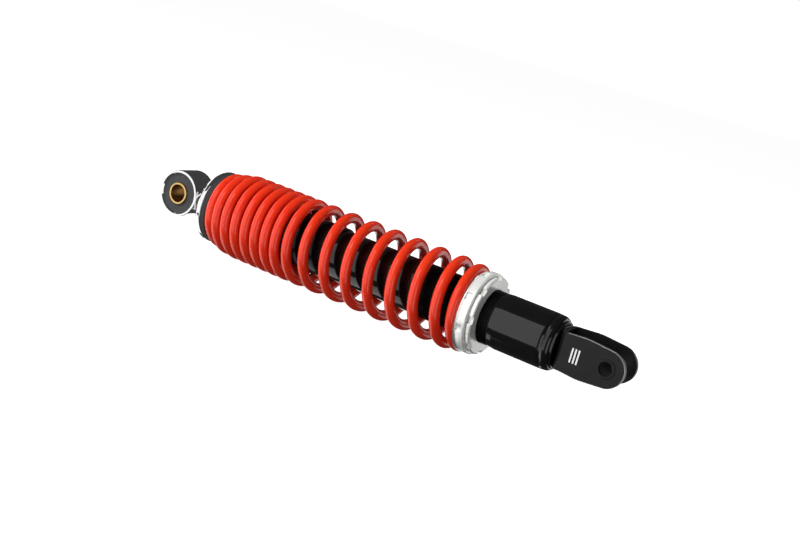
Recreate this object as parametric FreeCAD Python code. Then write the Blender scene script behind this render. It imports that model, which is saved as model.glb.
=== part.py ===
"""Rear shock absorber: coil-over damper with an eye at one end and a clevis at the other.

Millimetres. X runs along the damper from the eye to the clevis, Y along both bolt
holes and Z up. The origin is the centre of the eye.
"""
import FreeCAD, Part
import math
import os

V = FreeCAD.Vector

# Overall
EYE_TO_CLEVIS = 330.0
STROKE = 60.0

# Fits and gaps
RUN_FIT = 0.03
THREAD_FIT = 0.05
GAP = 0.3
FACE_GAP = 0.05

# Upper eye, bush and sleeve
EYE_RADIUS = 16.2
EYE_WALL = 2.3
EYE_WIDTH = 20.6
EYE_EDGE = 0.5
BUSH_RECESS = 1.2
BUSH_EDGE = 0.8
SLEEVE_RADIUS = 7.5
SLEEVE_BORE_RADIUS = 6.1
SLEEVE_PROUD = 0.2
SLEEVE_EDGE = 0.4
NECK_RADIUS = 9.0
NECK_FLARE_RADIUS = 11.0
NECK_FLARE_LENGTH = 3.0
NECK_ROUND = 1.0

# Top spring cup and seat
CUP_START = 16.5
CUP_SHOULDER = 28.5
CUP_WALL = 2.2
CUP_RADIUS = 25.0
CUP_SHOULDER_RADIUS = 23.3
CUP_ROUND = 2.0
SEAT_X = 37.5
SEAT_THICKNESS = 3.0
SPIGOT_WALL = 3.0
SPIGOT_LENGTH = 4.0
SPIGOT_CLEARANCE = 0.5
SPIGOT_ROUND = 0.8
ISOLATOR_LENGTH = 4.0
ISOLATOR_INSET = 0.2
ISOLATOR_ROUND = 0.5

# Dust sleeve
DUST_SLEEVE_REBATE = 2.0
DUST_SLEEVE_WALL = 0.9
DUST_SLEEVE_OVERLAP = 6.0
DUST_SLEEVE_ROUND = 0.3

# Coil spring
WIRE_RADIUS = 3.5
COIL_RADIUS = 25.9
TOP_COIL_RADIUS = 22.4
COLLAR_COIL_RADIUS = 24.1
CLOSED_PITCH = 7.45
TIGHT_PITCH = 8.4
SPRING_TURNS = 16.74
CLOSED_END_TURN = 0.9
TIGHT_START_TURN = 1.6
TIGHT_END_TURN = 7.5
WIDE_START_TURN = 9.8
WIDE_END_TURN = 14.8
CLOSING_TURN = 16.5
DRAW_IN_TOP_TURNS = 2.2
DRAW_IN_COLLAR_TURNS = 1.5
GROUND_DEPTH = 3.0
SPRING_START_ANGLE = 46.0
STEPS_PER_TURN = 20

# Rod and what is threaded onto it
ROD_RADIUS = 6.0
ROD_END_RADIUS = 4.0
ROD_TOP_X = 20.0
ROD_EDGE = 0.5
NUT_FLATS = 17.0
LOCK_NUT_THICKNESS = 5.0
BUMP_WASHER_RADIUS = 13.0
BUMP_WASHER_THICKNESS = 1.4
BUMP_LENGTH = 22.0
BUMP_RADIUS = 12.5
BUMP_TIP_RADIUS = 9.0
BUMP_GROOVE_DEPTH = 1.6
BUMP_GROOVE_COUNT = 2
BUMP_BASE_ROUND = 1.0
BUMP_SHOULDER_ROUND = 3.0
BUMP_TIP_ROUND = 1.5
BUMP_GAP = 1.0
REBOUND_STOP_LENGTH = 9.0
REBOUND_STOP_RADIUS = 9.5
BACKING_THICKNESS = 1.5
BACKING_RADIUS = 8.0
SHIM_STACK = 1.2
SHIM_COUNT = 3
SHIM_STEP = 1.2
SHIM_RADIUS = 10.2
PISTON_LENGTH = 12.0
PISTON_RADIUS = 11.7
PISTON_PORT_RADIUS = 1.5
PISTON_PORT_PITCH_RADIUS = 7.6
PISTON_PORT_COUNT = 6
BAND_WIDTH = 4.0
BAND_DEPTH = 1.2
PISTON_NUT_FLATS = 13.0
PISTON_NUT_THICKNESS = 6.5
ROD_END_PROUD = 2.0

# Damper body
TUBE_RADIUS = 17.6
THREAD_RADIUS = 17.25
SLEEK_RADIUS = 17.0
TUBE_WALL = 2.0
LIP_THICKNESS = 1.8
LIP_RADIUS = 10.5
LIP_ROUND = 1.2
THREAD_RUN_IN = 1.0
THREAD_RUN_OUT = 0.5
THREAD_LENGTH = 58.0
BARE_THREAD = 7.0
PLAIN_LENGTH = 36.0
TUBE_END_FROM_HOLE = 39.5
WIPER_PROUD = 1.0
WIPER_TAPER = 2.2
WIPER_LIP = 1.2
SEAL_WASHER_THICKNESS = 1.5
OIL_SEAL_LENGTH = 7.0
GUIDE_LENGTH = 7.7
GUIDE_SPIGOT = 6.0
GUIDE_ROUND = 0.6
O_RING_RADIUS = 1.0
O_RING_SQUASH = 0.15
CYLINDER_RADIUS = 12.0
CYLINDER_WALL = 1.5
VALVE_FLANGE = 4.0
VALVE_SPIGOT = 6.0
VALVE_FOOT = 3.0
VALVE_FOOT_WALL = 3.0
VALVE_SLOT_FLOOR = 1.0
VALVE_PORT_RADIUS = 1.4
VALVE_PORT_PITCH_RADIUS = 8.2
VALVE_PORT_COUNT = 4
VALVE_BOLT_RADIUS = 2.5
VALVE_BOLT_PROUD = 1.0
VALVE_HEAD_RADIUS = 4.3
VALVE_HEAD_THICKNESS = 3.0
VALVE_NUT_FLATS = 8.0
VALVE_NUT_THICKNESS = 4.0
PLUG_LENGTH = 7.5
CAP_LENGTH = 6.5
CAP_END_RADIUS = 15.2
CAP_STEP = 1.0
CAP_SHOULDER = 1.5
CAP_SHOULDER_ROUND = 1.5
CAP_CORNER_ROUND = 1.0
CAP_FOOT_ROUND = 0.6
CAP_DISH_RADIUS = 9.0
CAP_DISH_DEPTH = 3.0

# Threaded rings under the spring
SEAT_WASHER_THICKNESS = 1.0
SEAT_WASHER_RADIUS = 25.4
RING_RADIUS = 26.4
RING_THICKNESS = 6.0
RING_LEAD = 1.4
RING_LEAD_DROP = 0.9
RING_EDGE = 0.4
RING_HUB_LENGTH = 4.0
RING_HUB_RADIUS = 20.1
LOCK_RING_RADIUS = 25.0
LOCK_RING_THICKNESS = 3.4
LOCK_RING_FACE_RADIUS = 24.3
LOCK_RING_TAPER = 0.7
NOTCH_COUNT = 8
NOTCH_WIDTH = 5.4
NOTCH_DEPTH = 2.2
NOTCH_LENGTH = 4.0
NOTCH_ANGLE = 16.0
LOCK_NOTCH_ANGLE = 46.0

# Clevis
CLEVIS_LENGTH = 33.0
CLEVIS_WIDTH = 24.0
SHEET = 3.0
BEND_RADIUS = 5.5
EAR_BASE_HALF = 11.9
EAR_WIDE_HALF = 12.9
EAR_WIDE_FROM_HOLE = 15.0
EAR_TIP_RADIUS = 11.6
INSERT_RADIUS = 5.0
INSERT_FLANGE_RADIUS = 5.9
INSERT_FLANGE = 0.5
M8_MINOR_RADIUS = 3.4
M8_CLEAR_RADIUS = 4.3
INSERT_CHAMFER = 1.0

# Stations along X
NUT_X = SEAT_X
CUP_END_X = SEAT_X - ISOLATOR_LENGTH
SPIGOT_RADIUS = TOP_COIL_RADIUS - WIRE_RADIUS - SPIGOT_CLEARANCE
DUST_SLEEVE_X = SEAT_X + SPIGOT_LENGTH - DUST_SLEEVE_REBATE
BUMP_WASHER_X = NUT_X + LOCK_NUT_THICKNESS
BUMP_X = BUMP_WASHER_X + BUMP_WASHER_THICKNESS
BUMP_END_X = BUMP_X + BUMP_LENGTH
BODY_TOP_X = BUMP_END_X + STROKE + BUMP_GAP + WIPER_PROUD
LIP_X = BODY_TOP_X + LIP_THICKNESS
OIL_SEAL_X = LIP_X + SEAL_WASHER_THICKNESS
GUIDE_X = OIL_SEAL_X + OIL_SEAL_LENGTH
CYLINDER_X = GUIDE_X + GUIDE_LENGTH
GUIDE_END_X = CYLINDER_X + GUIDE_SPIGOT
STOP_X = GUIDE_END_X + GAP
SHOULDER_X = STOP_X + REBOUND_STOP_LENGTH
UPPER_SHIM_X = SHOULDER_X + BACKING_THICKNESS
PISTON_X = UPPER_SHIM_X + SHIM_STACK
LOWER_SHIM_X = PISTON_X + PISTON_LENGTH
PISTON_NUT_X = LOWER_SHIM_X + SHIM_STACK
ROD_END_X = PISTON_NUT_X + PISTON_NUT_THICKNESS + ROD_END_PROUD
TUBE_END_X = EYE_TO_CLEVIS - TUBE_END_FROM_HOLE
CAP_END_X = TUBE_END_X + CAP_LENGTH
CLEVIS_X = EYE_TO_CLEVIS - CLEVIS_LENGTH
PLUG_X = TUBE_END_X - PLUG_LENGTH
VALVE_FLANGE_X = PLUG_X - VALVE_FOOT - VALVE_FLANGE
VALVE_X = VALVE_FLANGE_X - VALVE_SPIGOT
THREAD_END_X = TUBE_END_X - PLAIN_LENGTH
LOCK_RING_END_X = THREAD_END_X - BARE_THREAD
LOCK_RING_X = LOCK_RING_END_X - LOCK_RING_THICKNESS
RING_END_X = LOCK_RING_X - GAP
RING_X = RING_END_X - RING_THICKNESS
SEAT_WASHER_X = RING_X - FACE_GAP - SEAT_WASHER_THICKNESS
SPRING_LENGTH = SEAT_WASHER_X - SEAT_X - FACE_GAP
TUBE_BORE_RADIUS = SLEEK_RADIUS - TUBE_WALL
EYE_BORE_RADIUS = EYE_RADIUS - EYE_WALL


def save(name, shape):
    """Write one piece as parts/NAME.step."""
    shape.exportStep("parts/" + name + ".step")


def corner(before, at, after, radius):
    """Points where a round of this radius starts, peaks and ends at a profile corner."""
    into = (before - at).normalize()
    out = (after - at).normalize()
    half = into.getAngle(out) / 2
    reach = radius / math.tan(half)
    bisector = (into + out).normalize()
    start = at + into * reach
    middle = at + bisector * (radius / math.sin(half) - radius)
    end = at + out * reach
    return start, middle, end


def outline(points):
    """Closed wire through (a, b) or (a, b, round) points in the XY plane."""
    corners = [V(p[0], p[1], 0) for p in points]
    rounds = [p[2] if len(p) > 2 else 0 for p in points]
    count = len(points)
    edges = []
    stops = []
    for i in range(count):
        at = corners[i]
        if rounds[i]:
            after = corners[(i + 1) % count]
            stops.append(corner(corners[i - 1], at, after, rounds[i]))
        else:
            stops.append((at, None, at))
    for i in range(count):
        start, middle, end = stops[i]
        if middle is not None:
            edges.append(Part.Arc(start, middle, end).toShape())
        following = stops[(i + 1) % count][0]
        if end.distanceToPoint(following) > Part.Precision.confusion():
            edges.append(Part.makeLine(end, following))
    return Part.Wire(edges)


def turned(points):
    """Solid of revolution about X from an (x, radius) or (x, radius, round) profile."""
    face = Part.Face(outline(points))
    return face.revolve(V(0, 0, 0), V(1, 0, 0), 360)


def rod(start, end, radius):
    """Cylinder along X."""
    return Part.makeCylinder(radius, end - start, V(start, 0, 0), V(1, 0, 0))


def tube(start, end, outer, inner):
    """Hollow cylinder along X."""
    return rod(start, end, outer).cut(rod(start, end, inner))


def cross_rod(half_width, radius):
    """Cylinder along Y, centred on the middle plane."""
    start = V(0, -half_width, 0)
    return Part.makeCylinder(radius, 2 * half_width, start, V(0, 1, 0))


def hexagon(start, thickness, flats, bore):
    """Hexagon nut along X with both rims bevelled."""
    radius = flats / math.sqrt(3)
    points = [
        V(start, radius * math.cos(math.pi * i / 3), radius * math.sin(math.pi * i / 3))
        for i in range(6)
    ]
    face = Part.Face(Part.makePolygon(points + [points[0]]))
    block = face.extrude(V(thickness, 0, 0))
    bevel = radius - flats / 2
    end = start + thickness
    limit = turned(
        [
            (start, 0),
            (start, flats / 2),
            (start + bevel, radius),
            (end - bevel, radius),
            (end, flats / 2),
            (end, 0),
        ]
    )
    return block.common(limit).cut(rod(start, end, bore))


def around(shape, count, start_angle=0.0):
    """Copies of one shape spaced evenly about X."""
    copies = []
    for i in range(count):
        copy = shape.copy()
        copy.rotate(V(0, 0, 0), V(1, 0, 0), start_angle + 360.0 * i / count)
        copies.append(copy)
    return Part.makeCompound(copies)


def upper_eye():
    """Eye ring with its neck, which runs into the spring cup as a hub for the rod."""
    half = EYE_WIDTH / 2
    ring = cross_rod(half, EYE_RADIUS)
    ring = ring.makeChamfer(EYE_EDGE, ring.Edges)
    neck = turned(
        [
            (EYE_BORE_RADIUS / 2, 0),
            (EYE_BORE_RADIUS / 2, NECK_RADIUS),
            (CUP_START - NECK_FLARE_LENGTH, NECK_RADIUS),
            (CUP_START, NECK_FLARE_RADIUS, NECK_ROUND),
            (CUP_START, NECK_RADIUS),
            (SEAT_X - SEAT_THICKNESS, NECK_RADIUS),
            (SEAT_X - SEAT_THICKNESS, 0),
        ]
    )
    bore = cross_rod(half, EYE_BORE_RADIUS)
    rod_bore = rod(ROD_TOP_X, SEAT_X, ROD_RADIUS)
    return ring.fuse(neck).cut(bore).cut(rod_bore).removeSplitter()


def eye_bush():
    """Rubber bush bonded into the eye, with a shallow moulded groove on each face."""
    half = EYE_WIDTH / 2 - BUSH_RECESS
    body = cross_rod(half, EYE_BORE_RADIUS)
    body = body.makeChamfer(BUSH_EDGE, body.Edges)
    return body.cut(cross_rod(half, SLEEVE_RADIUS + RUN_FIT))


def eye_sleeve():
    """Brass sleeve that the upper bolt passes through."""
    half = EYE_WIDTH / 2 + SLEEVE_PROUD
    body = cross_rod(half, SLEEVE_RADIUS).cut(cross_rod(half, SLEEVE_BORE_RADIUS))
    return body.makeChamfer(SLEEVE_EDGE, body.Edges)


def top_spring_cup():
    """Pressed conical cup welded round the neck, with a straight rim."""
    inner_radius = CUP_RADIUS - CUP_WALL
    inner_shoulder = CUP_SHOULDER_RADIUS - CUP_WALL
    return turned(
        [
            (CUP_START, NECK_RADIUS),
            (CUP_START, NECK_FLARE_RADIUS),
            (CUP_SHOULDER, CUP_SHOULDER_RADIUS, CUP_ROUND),
            (CUP_SHOULDER + CUP_ROUND, CUP_RADIUS, CUP_ROUND / 2),
            (CUP_END_X, CUP_RADIUS),
            (CUP_END_X, inner_radius),
            (CUP_SHOULDER + CUP_WALL, inner_radius),
            (CUP_SHOULDER + CUP_WALL, inner_shoulder),
            (CUP_START + CUP_WALL, NECK_RADIUS),
        ]
    )


def spring_isolator():
    """Rubber ring between the cup's rim and the first coil."""
    radius = CUP_RADIUS - ISOLATOR_INSET
    bore = CUP_RADIUS - CUP_WALL
    return turned(
        [
            (CUP_END_X, bore),
            (CUP_END_X, radius),
            (SEAT_X, radius, ISOLATOR_ROUND),
            (SEAT_X, bore),
        ]
    )


def upper_spring_seat():
    """Steel seat inside the cup, with a ring that centres the first coil and the sleeve."""
    start = SEAT_X - SEAT_THICKNESS
    rebate_radius = SPIGOT_RADIUS - DUST_SLEEVE_WALL - GAP
    return turned(
        [
            (start, ROD_RADIUS),
            (start, CUP_RADIUS - CUP_WALL),
            (SEAT_X, CUP_RADIUS - CUP_WALL),
            (SEAT_X, SPIGOT_RADIUS),
            (DUST_SLEEVE_X, SPIGOT_RADIUS),
            (DUST_SLEEVE_X, rebate_radius),
            (SEAT_X + SPIGOT_LENGTH, rebate_radius, SPIGOT_ROUND),
            (SEAT_X + SPIGOT_LENGTH, SPIGOT_RADIUS - SPIGOT_WALL),
            (SEAT_X, SPIGOT_RADIUS - SPIGOT_WALL),
            (SEAT_X, ROD_RADIUS),
        ]
    )


def dust_sleeve():
    """Thin sleeve on the seat, round the rod and over the end of the body tube."""
    bore = SPIGOT_RADIUS - DUST_SLEEVE_WALL
    end = BODY_TOP_X + DUST_SLEEVE_OVERLAP
    return turned(
        [
            (DUST_SLEEVE_X, bore),
            (DUST_SLEEVE_X, SPIGOT_RADIUS),
            (end, SPIGOT_RADIUS, DUST_SLEEVE_ROUND),
            (end, bore),
        ]
    )


def coil_pitch(turn, wide_extra):
    """Rise per turn at a turn number: closed end, tight coils, wide coils, closed end."""
    knots = [
        (0.0, CLOSED_PITCH, 0.0),
        (CLOSED_END_TURN, CLOSED_PITCH, 0.0),
        (TIGHT_START_TURN, TIGHT_PITCH, 0.0),
        (TIGHT_END_TURN, TIGHT_PITCH, 0.0),
        (WIDE_START_TURN, TIGHT_PITCH, 1.0),
        (WIDE_END_TURN, TIGHT_PITCH, 1.0),
        (CLOSING_TURN, CLOSED_PITCH, 0.0),
        (SPRING_TURNS, CLOSED_PITCH, 0.0),
    ]
    for low, high in zip(knots, knots[1:]):
        if turn <= high[0]:
            share = (turn - low[0]) / (high[0] - low[0])
            base = low[1] + share * (high[1] - low[1])
            wide = low[2] + share * (high[2] - low[2])
            return base + wide_extra * wide
    return CLOSED_PITCH


def coil_rise(turns, wide_extra):
    """Distance along X at each turn number, from the pitch."""
    rise = [0.0]
    for start, end in zip(turns, turns[1:]):
        middle = coil_pitch((start + end) / 2, wide_extra)
        rise.append(rise[-1] + middle * (end - start))
    return rise


def coil_radius(turn):
    """Mean coil radius, drawn in towards both ends."""
    top = min(1.0, turn / DRAW_IN_TOP_TURNS)
    bottom = min(1.0, (SPRING_TURNS - turn) / DRAW_IN_COLLAR_TURNS)
    ease_top = top * top * (3 - 2 * top)
    ease_bottom = bottom * bottom * (3 - 2 * bottom)
    drawn_top = (COIL_RADIUS - TOP_COIL_RADIUS) * (1 - ease_top)
    drawn_bottom = (COIL_RADIUS - COLLAR_COIL_RADIUS) * (1 - ease_bottom)
    return COIL_RADIUS - drawn_top - drawn_bottom


def coil_spring():
    """Right-hand progressive spring with closed, ground ends."""
    count = int(SPRING_TURNS * STEPS_PER_TURN)
    turns = [SPRING_TURNS * i / count for i in range(count + 1)]
    span = SPRING_LENGTH - 2 * (WIRE_RADIUS - GROUND_DEPTH)
    plain = coil_rise(turns, 0.0)[-1]
    unit = coil_rise(turns, 1.0)[-1] - plain
    rise = coil_rise(turns, (span - plain) / unit)
    start_x = SEAT_X + FACE_GAP + WIRE_RADIUS - GROUND_DEPTH
    path = []
    for turn, along in zip(turns, rise):
        angle = math.radians(SPRING_START_ANGLE + 360.0 * turn)
        radius = coil_radius(turn)
        path.append(V(start_x + along, radius * math.cos(angle), radius * math.sin(angle)))
    curve = Part.BSplineCurve()
    curve.interpolate(path)
    spine = Part.Wire([curve.toShape()])
    tangent = curve.tangent(curve.FirstParameter)[0]
    ring = Part.Wire([Part.Circle(path[0], tangent, WIRE_RADIUS).toShape()])
    bar = spine.makePipeShell([ring], True, True)
    keep = rod(SEAT_X + FACE_GAP, SEAT_X + FACE_GAP + SPRING_LENGTH, COIL_RADIUS * 2)
    return bar.common(keep)


def damper_rod():
    """Hard-chromed rod with a reduced end for the piston."""
    return turned(
        [
            (ROD_TOP_X, 0),
            (ROD_TOP_X, ROD_RADIUS - ROD_EDGE),
            (ROD_TOP_X + ROD_EDGE, ROD_RADIUS),
            (SHOULDER_X, ROD_RADIUS),
            (SHOULDER_X, ROD_END_RADIUS),
            (ROD_END_X - ROD_EDGE, ROD_END_RADIUS),
            (ROD_END_X, ROD_END_RADIUS - ROD_EDGE),
            (ROD_END_X, 0),
        ]
    )


def bump_stop():
    """Foam bump stop on the rod: grooved, with a tapered tip."""
    taper_x = BUMP_END_X - BUMP_LENGTH / 3
    body = turned(
        [
            (BUMP_X, ROD_RADIUS),
            (BUMP_X, BUMP_RADIUS, BUMP_BASE_ROUND),
            (taper_x, BUMP_RADIUS, BUMP_SHOULDER_ROUND),
            (BUMP_END_X, BUMP_TIP_RADIUS, BUMP_TIP_ROUND),
            (BUMP_END_X, ROD_RADIUS),
        ]
    )
    pitch = (taper_x - BUMP_X) / (BUMP_GROOVE_COUNT + 1)
    for i in range(BUMP_GROOVE_COUNT):
        centre = V(BUMP_X + pitch * (i + 1), 0, 0)
        groove = Part.makeTorus(BUMP_RADIUS, BUMP_GROOVE_DEPTH, centre, V(1, 0, 0))
        body = body.cut(groove)
    return body


def shim_stack(start, direction):
    """Stack of thin valve shims, widest against the piston."""
    step = SHIM_STACK / SHIM_COUNT
    discs = []
    for i in range(SHIM_COUNT):
        radius = SHIM_RADIUS - SHIM_STEP * i
        a = start + direction * step * i
        b = a + direction * step
        discs.append(tube(min(a, b), max(a, b), radius, ROD_END_RADIUS))
    return discs[0].multiFuse(discs[1:])


def piston():
    """Piston with axial ports and a groove for its band."""
    body = tube(PISTON_X, LOWER_SHIM_X, PISTON_RADIUS, ROD_END_RADIUS)
    port = Part.makeCylinder(
        PISTON_PORT_RADIUS, PISTON_LENGTH, V(PISTON_X, PISTON_PORT_PITCH_RADIUS, 0), V(1, 0, 0)
    )
    middle = PISTON_X + PISTON_LENGTH / 2
    half = BAND_WIDTH / 2 + FACE_GAP
    groove = tube(middle - half, middle + half, PISTON_RADIUS, PISTON_RADIUS - BAND_DEPTH)
    return body.cut(around(port, PISTON_PORT_COUNT)).cut(groove)


def piston_band():
    """Split-free glide band that runs in the inner cylinder."""
    middle = PISTON_X + PISTON_LENGTH / 2
    half = BAND_WIDTH / 2
    inner = PISTON_RADIUS - BAND_DEPTH + RUN_FIT
    return tube(middle - half, middle + half, CYLINDER_RADIUS - RUN_FIT, inner)


def body_tube():
    """Outer tube: rolled lip at the rod end, smooth, threaded and full-size zones."""
    thread_start = THREAD_END_X - THREAD_LENGTH
    return turned(
        [
            (BODY_TOP_X, LIP_RADIUS),
            (BODY_TOP_X, SLEEK_RADIUS, LIP_ROUND),
            (thread_start, SLEEK_RADIUS),
            (thread_start + THREAD_RUN_IN, THREAD_RADIUS),
            (THREAD_END_X, THREAD_RADIUS),
            (THREAD_END_X + THREAD_RUN_OUT, TUBE_RADIUS),
            (TUBE_END_X, TUBE_RADIUS),
            (TUBE_END_X, TUBE_BORE_RADIUS),
            (LIP_X, TUBE_BORE_RADIUS),
            (LIP_X, LIP_RADIUS),
        ]
    )


def dust_wiper():
    """Rubber wiper in the lip, with a tapered lip on the rod."""
    bore = ROD_RADIUS + RUN_FIT
    return turned(
        [
            (BODY_TOP_X - WIPER_PROUD, bore),
            (BODY_TOP_X - WIPER_PROUD, bore + WIPER_LIP),
            (BODY_TOP_X, LIP_RADIUS - WIPER_TAPER),
            (BODY_TOP_X, LIP_RADIUS),
            (LIP_X, LIP_RADIUS),
            (LIP_X, bore),
        ]
    )


def rod_guide():
    """Bronze-lined guide: fills the tube, locates the inner cylinder, holds an O-ring."""
    body = turned(
        [
            (GUIDE_X, ROD_RADIUS + RUN_FIT),
            (GUIDE_X, TUBE_BORE_RADIUS),
            (CYLINDER_X, TUBE_BORE_RADIUS),
            (CYLINDER_X, CYLINDER_RADIUS),
            (GUIDE_END_X, CYLINDER_RADIUS, GUIDE_ROUND),
            (GUIDE_END_X, ROD_RADIUS + RUN_FIT),
        ]
    )
    return body.cut(o_ring_channel())


def o_ring_centre_radius():
    """Radius at which the O-ring's section just meets the tube's bore."""
    return TUBE_BORE_RADIUS - O_RING_RADIUS + O_RING_SQUASH


def o_ring_channel():
    """Square groove for the O-ring."""
    middle = (GUIDE_X + CYLINDER_X) / 2
    floor = o_ring_centre_radius() - O_RING_RADIUS
    return tube(middle - O_RING_RADIUS, middle + O_RING_RADIUS, TUBE_BORE_RADIUS, floor)


def guide_o_ring():
    """O-ring, flattened where it meets the tube."""
    middle = V((GUIDE_X + CYLINDER_X) / 2, 0, 0)
    ring = Part.makeTorus(o_ring_centre_radius(), O_RING_RADIUS, middle, V(1, 0, 0))
    return ring.common(rod(GUIDE_X, CYLINDER_X, TUBE_BORE_RADIUS))


def base_valve():
    """Foot valve: spigot in the inner cylinder, flange, and a slotted foot."""
    outer = CYLINDER_RADIUS + CYLINDER_WALL
    body = turned(
        [
            (VALVE_X, VALVE_BOLT_RADIUS),
            (VALVE_X, CYLINDER_RADIUS),
            (VALVE_FLANGE_X, CYLINDER_RADIUS),
            (VALVE_FLANGE_X, outer),
            (PLUG_X, outer),
            (PLUG_X, outer - VALVE_FOOT_WALL),
            (PLUG_X - VALVE_FOOT, outer - VALVE_FOOT_WALL),
            (PLUG_X - VALVE_FOOT, VALVE_BOLT_RADIUS),
        ]
    )
    port_length = PLUG_X - VALVE_FOOT - VALVE_X
    port = Part.makeCylinder(
        VALVE_PORT_RADIUS, port_length, V(VALVE_X, VALVE_PORT_PITCH_RADIUS, 0), V(1, 0, 0)
    )
    slot = Part.makeBox(VALVE_FOOT, VALVE_FOOT_WALL * 2, VALVE_FOOT_WALL)
    slot_floor = outer - VALVE_FOOT_WALL - VALVE_SLOT_FLOOR
    slot.translate(V(PLUG_X - VALVE_FOOT, slot_floor, -VALVE_FOOT_WALL / 2))
    body = body.cut(around(port, VALVE_PORT_COUNT))
    return body.cut(around(slot, VALVE_PORT_COUNT))


def base_valve_bolt():
    """Bolt through the foot valve, its head inside the foot."""
    head_x = PLUG_X - VALVE_FOOT
    tip_x = VALVE_X - SHIM_STACK - VALVE_NUT_THICKNESS - VALVE_BOLT_PROUD
    shank = rod(tip_x, head_x, VALVE_BOLT_RADIUS)
    head = rod(head_x, head_x + VALVE_HEAD_THICKNESS, VALVE_HEAD_RADIUS)
    return shank.fuse(head).removeSplitter()


def body_end_cap():
    """Plug welded into the tube, with a rounded shoulder and a dished inside."""
    return turned(
        [
            (PLUG_X + CAP_DISH_DEPTH, 0),
            (PLUG_X + CAP_DISH_DEPTH, CAP_DISH_RADIUS),
            (PLUG_X, CAP_DISH_RADIUS),
            (PLUG_X, TUBE_BORE_RADIUS),
            (TUBE_END_X, TUBE_BORE_RADIUS),
            (TUBE_END_X, TUBE_RADIUS),
            (TUBE_END_X + CAP_SHOULDER, TUBE_RADIUS, CAP_CORNER_ROUND),
            (CAP_END_X - CAP_SHOULDER, CAP_END_RADIUS + CAP_STEP, CAP_SHOULDER_ROUND),
            (CAP_END_X - CAP_SHOULDER, CAP_END_RADIUS),
            (CAP_END_X, CAP_END_RADIUS, CAP_FOOT_ROUND),
            (CAP_END_X, 0),
        ]
    )


def notched_ring(start, thickness, radius, first_angle, face_radius, taper, notch_length):
    """Threaded ring with spanner notches open towards the spring."""
    bore = THREAD_RADIUS + THREAD_FIT
    end = start + thickness
    ring = turned(
        [
            (start, bore),
            (start, radius - RING_LEAD_DROP),
            (start + RING_LEAD, radius),
            (end - taper, radius),
            (end, face_radius),
            (end, bore),
        ]
    )
    notch = Part.makeBox(notch_length, NOTCH_DEPTH * 2, NOTCH_WIDTH)
    notch.translate(V(start, radius - NOTCH_DEPTH, -NOTCH_WIDTH / 2))
    return ring.cut(around(notch, NOTCH_COUNT, first_angle))


def preload_ring():
    """Spring-side ring, with a hub that centres the last coil."""
    body = notched_ring(
        RING_X,
        RING_THICKNESS,
        RING_RADIUS,
        NOTCH_ANGLE,
        RING_RADIUS - RING_EDGE,
        RING_EDGE,
        NOTCH_LENGTH,
    )
    bore = THREAD_RADIUS + THREAD_FIT
    hub_x = SEAT_WASHER_X - RING_HUB_LENGTH
    hub = tube(hub_x, RING_X, RING_HUB_RADIUS, bore)
    return body.fuse(hub).removeSplitter()


def lock_ring():
    """Clevis-side ring, notched through its whole thickness."""
    return notched_ring(
        LOCK_RING_X,
        LOCK_RING_THICKNESS,
        LOCK_RING_RADIUS,
        LOCK_NOTCH_ANGLE,
        LOCK_RING_FACE_RADIUS,
        LOCK_RING_TAPER,
        LOCK_RING_THICKNESS + GAP,
    )


def spring_seat_washer():
    """Thin slip washer between the spring and the preload ring."""
    end = SEAT_WASHER_X + SEAT_WASHER_THICKNESS
    return tube(SEAT_WASHER_X, end, SEAT_WASHER_RADIUS, RING_HUB_RADIUS + GAP)


def ear_outline(x_start):
    """Side outline of the clevis in (x, z), from its base to the round tips."""
    wide_x = EYE_TO_CLEVIS - EAR_WIDE_FROM_HOLE
    reach = math.hypot(EAR_WIDE_FROM_HOLE, EAR_WIDE_HALF)
    to_centre = math.atan2(-EAR_WIDE_HALF, EAR_WIDE_FROM_HOLE)
    angle = to_centre + math.asin(EAR_TIP_RADIUS / reach)
    along = math.sqrt(reach**2 - EAR_TIP_RADIUS**2)
    touch_x = wide_x + along * math.cos(angle)
    touch_z = EAR_WIDE_HALF + along * math.sin(angle)
    base_x = CLEVIS_X + BEND_RADIUS
    tip = V(EYE_TO_CLEVIS + EAR_TIP_RADIUS, 0, 0)
    top = [
        V(x_start, 0, EAR_BASE_HALF),
        V(base_x, 0, EAR_BASE_HALF),
        V(wide_x, 0, EAR_WIDE_HALF),
        V(touch_x, 0, touch_z),
    ]
    bottom = [V(p.x, 0, -p.z) for p in reversed(top)]
    edges = [Part.makeLine(a, b) for a, b in zip(top, top[1:])]
    edges.append(Part.Arc(top[-1], tip, bottom[0]).toShape())
    edges += [Part.makeLine(a, b) for a, b in zip(bottom, bottom[1:])]
    edges.append(Part.makeLine(bottom[-1], top[0]))
    return Part.Wire(edges)


def clevis():
    """U-bent sheet clevis: two ears and a base welded to the end cap."""
    half = CLEVIS_WIDTH / 2
    far_x = EYE_TO_CLEVIS + EAR_TIP_RADIUS
    inner_round = BEND_RADIUS - SHEET
    section = [
        (CLEVIS_X, -half, BEND_RADIUS),
        (far_x, -half),
        (far_x, SHEET - half),
        (CLEVIS_X + SHEET, SHEET - half, inner_round),
        (CLEVIS_X + SHEET, half - SHEET, inner_round),
        (far_x, half - SHEET),
        (far_x, half),
        (CLEVIS_X, half, BEND_RADIUS),
    ]
    channel = Part.Face(outline(section)).extrude(V(0, 0, EAR_WIDE_HALF * 2))
    channel.translate(V(0, 0, -EAR_WIDE_HALF))
    side = Part.Face(ear_outline(CLEVIS_X)).extrude(V(0, CLEVIS_WIDTH, 0))
    side.translate(V(0, -half, 0))
    body = channel.common(side)
    near = Part.makeCylinder(INSERT_RADIUS, SHEET, V(EYE_TO_CLEVIS, -half, 0), V(0, 1, 0))
    far = Part.makeCylinder(
        M8_CLEAR_RADIUS, SHEET, V(EYE_TO_CLEVIS, half - SHEET, 0), V(0, 1, 0)
    )
    return body.cut(near).cut(far).removeSplitter()


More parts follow.
